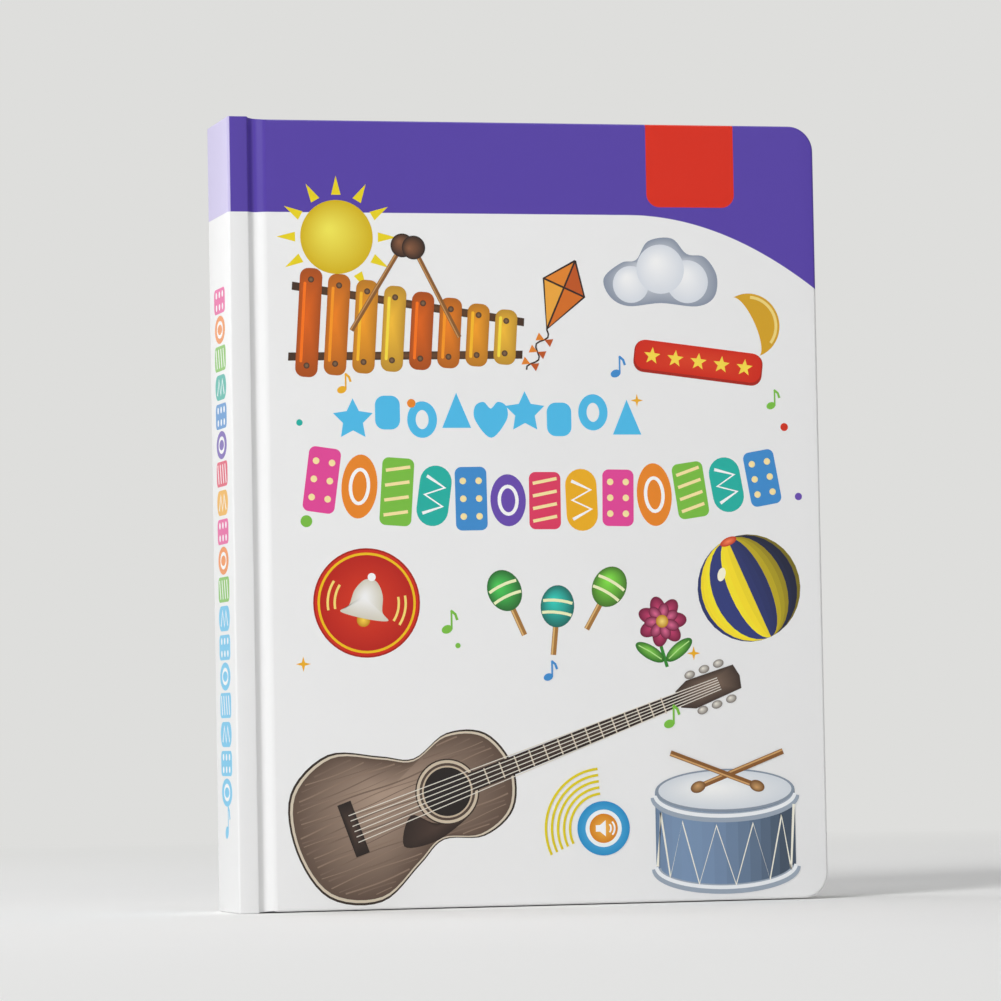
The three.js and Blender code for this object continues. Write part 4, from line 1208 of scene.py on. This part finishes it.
class SOUNDBOOK_OT_module_marks(bpy.types.Operator):
    """Add the grip ribs and the switch words to the sound module's lid"""

    bl_idname = "soundbook.module_marks"
    bl_label = "Module marks"

    def execute(self, context):
        skin = plastic("raised_marks", "#dcdcd8", 0.4)
        black = plastic("printed_words", "#3a3b3e", 0.4)
        middle = (DOOR_LO[0] + DOOR_HI[0]) / 2
        ribs, pitch, above_foot = 6, 2.2 * MM, 14 * MM
        half, radius = 9 * MM, 0.6 * MM
        grip = self.rib((middle, LID_FACE, DOOR_LO[2] + above_foot), half, radius)
        run_tree(grip, row_tree(skin), Count=ribs, Step=(0, 0, pitch), Jitter=0.0)
        shade(grip, 40)
        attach(grip, "book")
        word_z = (KNOB_LO[2] + KNOB_HI[2]) / 2 + 4.2 * MM
        for word, x in (("OFF", KNOB_LO[0] - 1.2 * MM), ("ON", KNOB_HI[0] + 5.4 * MM)):
            self.word(word, x, LID_FACE, word_z, black)
        return {"FINISHED"}

    def rib(self, place, half, radius):
        """One low rounded rib along X, on a face that points along +Y."""
        x, y, z = place
        taper, straight, flatness, sunk = 0.7, 0.9, 0.5, 0.05 * MM
        rings = []
        for share in (-1, -0.97, -straight, straight, 0.97, 1):
            size = radius * (1 - taper * max(0, abs(share) - straight) / (1 - straight))
            section = arc(0, 0, size, 0, 180, 8)
            rings.append([(x + share * half, y - sunk + flatness * v, z + u) for u, v in section])
        return loft("door_grip_ribs", rings, None)

    def word(self, text, x, y, z, skin):
        curve = bpy.data.curves.new("switch_word", "FONT")
        curve.body = text
        curve.size = WORD_HEIGHT
        curve.extrude = WORD_RELIEF
        curve.align_x = "CENTER"
        holder = bpy.data.objects.new("switch_word", curve)
        bpy.context.scene.collection.objects.link(holder)
        bpy.context.view_layer.update()
        depsgraph = bpy.context.evaluated_depsgraph_get()
        mesh = bpy.data.meshes.new_from_object(holder.evaluated_get(depsgraph))
        bpy.data.objects.remove(holder)
        turn = Matrix(((-1, 0, 0, x), (0, 0, 1, y), (0, 1, 0, z), (0, 0, 0, 1)))
        mesh.transform(turn)
        obj = bpy.data.objects.new(f"switch_word_{text.lower()}", mesh)
        bpy.context.scene.collection.objects.link(obj)
        mesh.materials.clear()
        mesh.materials.append(skin)
        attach(obj, "book")


# Stage
class SOUNDBOOK_OT_stage(bpy.types.Operator):
    """Set the pale floor, the soft studio light and the camera"""

    bl_idname = "soundbook.stage"
    bl_label = "Stage"

    def execute(self, context):
        stage = context.scene.soundbook_stage
        self.floor(stage)
        self.lights(stage)
        self.camera(context, stage)
        context.scene.view_settings.view_transform = "Standard"
        return {"FINISHED"}

    def seen(self, tree):
        """1 for what the camera sees, straight, in a reflection or through something clear."""
        path = tree.nodes.new("ShaderNodeLightPath")
        seen = path.outputs["Is Camera Ray"]
        for name in ("Is Glossy Ray", "Is Transmission Ray"):
            either = tree.nodes.new("ShaderNodeMath")
            either.operation = "MAXIMUM"
            tree.links.new(seen, either.inputs[0])
            tree.links.new(path.outputs[name], either.inputs[1])
            seen = either.outputs[0]
        return seen

    def blend(self, tree, share, lit, pale, surface):
        """Mixes what lights the book with the pale background that is only seen."""
        both = tree.nodes.new("ShaderNodeMixShader")
        for source, socket in zip((share, lit.outputs[0], pale.outputs[0]), both.inputs):
            tree.links.new(source, socket)
        tree.links.new(both.outputs[0], surface)

    def floor(self, stage):
        """A wide round floor that fades into the background far from the book."""
        recipe = Recipe("studio_paper", roughness=0.9, specular=0.2)
        recipe.bump(recipe.noise(300, detail=2), strength=0.02)
        skin = recipe.finish(recipe.mottled(stage.paper, 2.2, 0.01))
        tree = recipe.tree
        far = recipe.span(recipe.reach(recipe.x, recipe.y), stage.fade_start, stage.fade_end)
        glow = tree.nodes.new("ShaderNodeEmission")
        glow.inputs["Color"].default_value = (*stage.backdrop, 1)
        output = next(node for node in tree.nodes if node.type == "OUTPUT_MATERIAL")
        share = recipe.math("MULTIPLY", far, self.seen(tree))
        self.blend(tree, share, recipe.shader, glow, output.inputs["Surface"])
        edge = arc(0, 0, FLOOR_RADIUS, 0, 360, 64)[:-1]
        mesh = bpy.data.meshes.new("studio_floor")
        mesh.from_pydata([(x, y, 0) for x, y in edge], [], [tuple(range(len(edge)))])
        mesh.materials.append(skin)
        floor = bpy.data.objects.new("studio_floor", mesh)
        bpy.context.scene.collection.objects.link(floor)

    def lights(self, stage):
        world = bpy.data.worlds.new("studio")
        bpy.context.scene.world = world
        world.use_nodes = True
        tree = world.node_tree
        air = tree.nodes["Background"]
        air.inputs[0].default_value = (*SKY_TINT, 1)
        air.inputs[1].default_value = SKY_STRENGTH
        pale = tree.nodes.new("ShaderNodeBackground")
        pale.inputs[0].default_value = (*stage.backdrop, 1)
        self.blend(tree, self.seen(tree), air, pale, tree.nodes["World Output"].inputs["Surface"])
        for name, place, aim, size, power in LAMPS:
            lamp = bpy.data.lights.new(name, "AREA")
            lamp.shape = "SQUARE"
            lamp.size = size
            lamp.energy = power
            holder = bpy.data.objects.new(name, lamp)
            holder.visible_camera = False
            holder.location = place
            holder.rotation_euler = (Vector(aim) - Vector(place)).to_track_quat("-Z", "Y").to_euler()
            bpy.context.scene.collection.objects.link(holder)

    def camera(self, context, stage):
        """The photograph's view: low, a little left of the front cover, looking slightly up."""
        yaw, pitch, roll = stage.yaw, stage.pitch, stage.roll
        turn = Matrix.Rotation(-yaw, 3, "Z") @ Matrix.Rotation(pitch, 3, "X")
        look = turn @ Matrix.Rotation(math.radians(90), 3, "X") @ Matrix.Rotation(-roll, 3, "Z")
        camera = bpy.data.cameras.new("photo_view")
        camera.lens = stage.lens
        camera.sensor_width = FILM_WIDTH
        camera.clip_end = FARTHEST_VIEW
        holder = bpy.data.objects.new("photo_view", camera)
        holder.matrix_world = Matrix.Translation(VIEWPOINT) @ look.to_4x4()
        context.scene.collection.objects.link(holder)
        context.scene.camera = holder


class SOUNDBOOK_PT_panel(bpy.types.Panel):
    """Lists the sizes, the colours and the pieces of the sound book"""

    bl_label = "Sound Book"
    bl_space_type = "VIEW_3D"
    bl_region_type = "UI"
    bl_category = "Sound Book"

    def draw(self, context):
        for group in ("soundbook_case", "soundbook_pages", "soundbook_stage"):
            settings = getattr(context.scene, group)
            box = self.layout.box()
            for name in settings.__annotations__:
                box.prop(settings, name)
        for operator in OPERATORS:
            self.layout.operator(operator.bl_idname)


SETTINGS = {"soundbook_case": CaseSettings, "soundbook_pages": PageSettings,
            "soundbook_stage": StageSettings}
OPERATORS = (SOUNDBOOK_OT_stage, SOUNDBOOK_OT_case, SOUNDBOOK_OT_leaves, SOUNDBOOK_OT_print,
             SOUNDBOOK_OT_finishes, SOUNDBOOK_OT_module_marks)


def register():
    for kind in (*SETTINGS.values(), *OPERATORS, SOUNDBOOK_PT_panel):
        bpy.utils.register_class(kind)
    for name, kind in SETTINGS.items():
        setattr(bpy.types.Scene, name, PointerProperty(type=kind))


def unregister():
    for name in SETTINGS:
        delattr(bpy.types.Scene, name)
    for kind in reversed((*SETTINGS.values(), *OPERATORS, SOUNDBOOK_PT_panel)):
        bpy.utils.unregister_class(kind)


def main():
    register()
    bpy.ops.soundbook.stage()
    bpy.ops.soundbook.case()
    bpy.ops.soundbook.leaves()
    bpy.ops.soundbook.printing()
    bpy.ops.soundbook.finishes()
    bpy.ops.soundbook.module_marks()


if __name__ == "__main__":
    main()
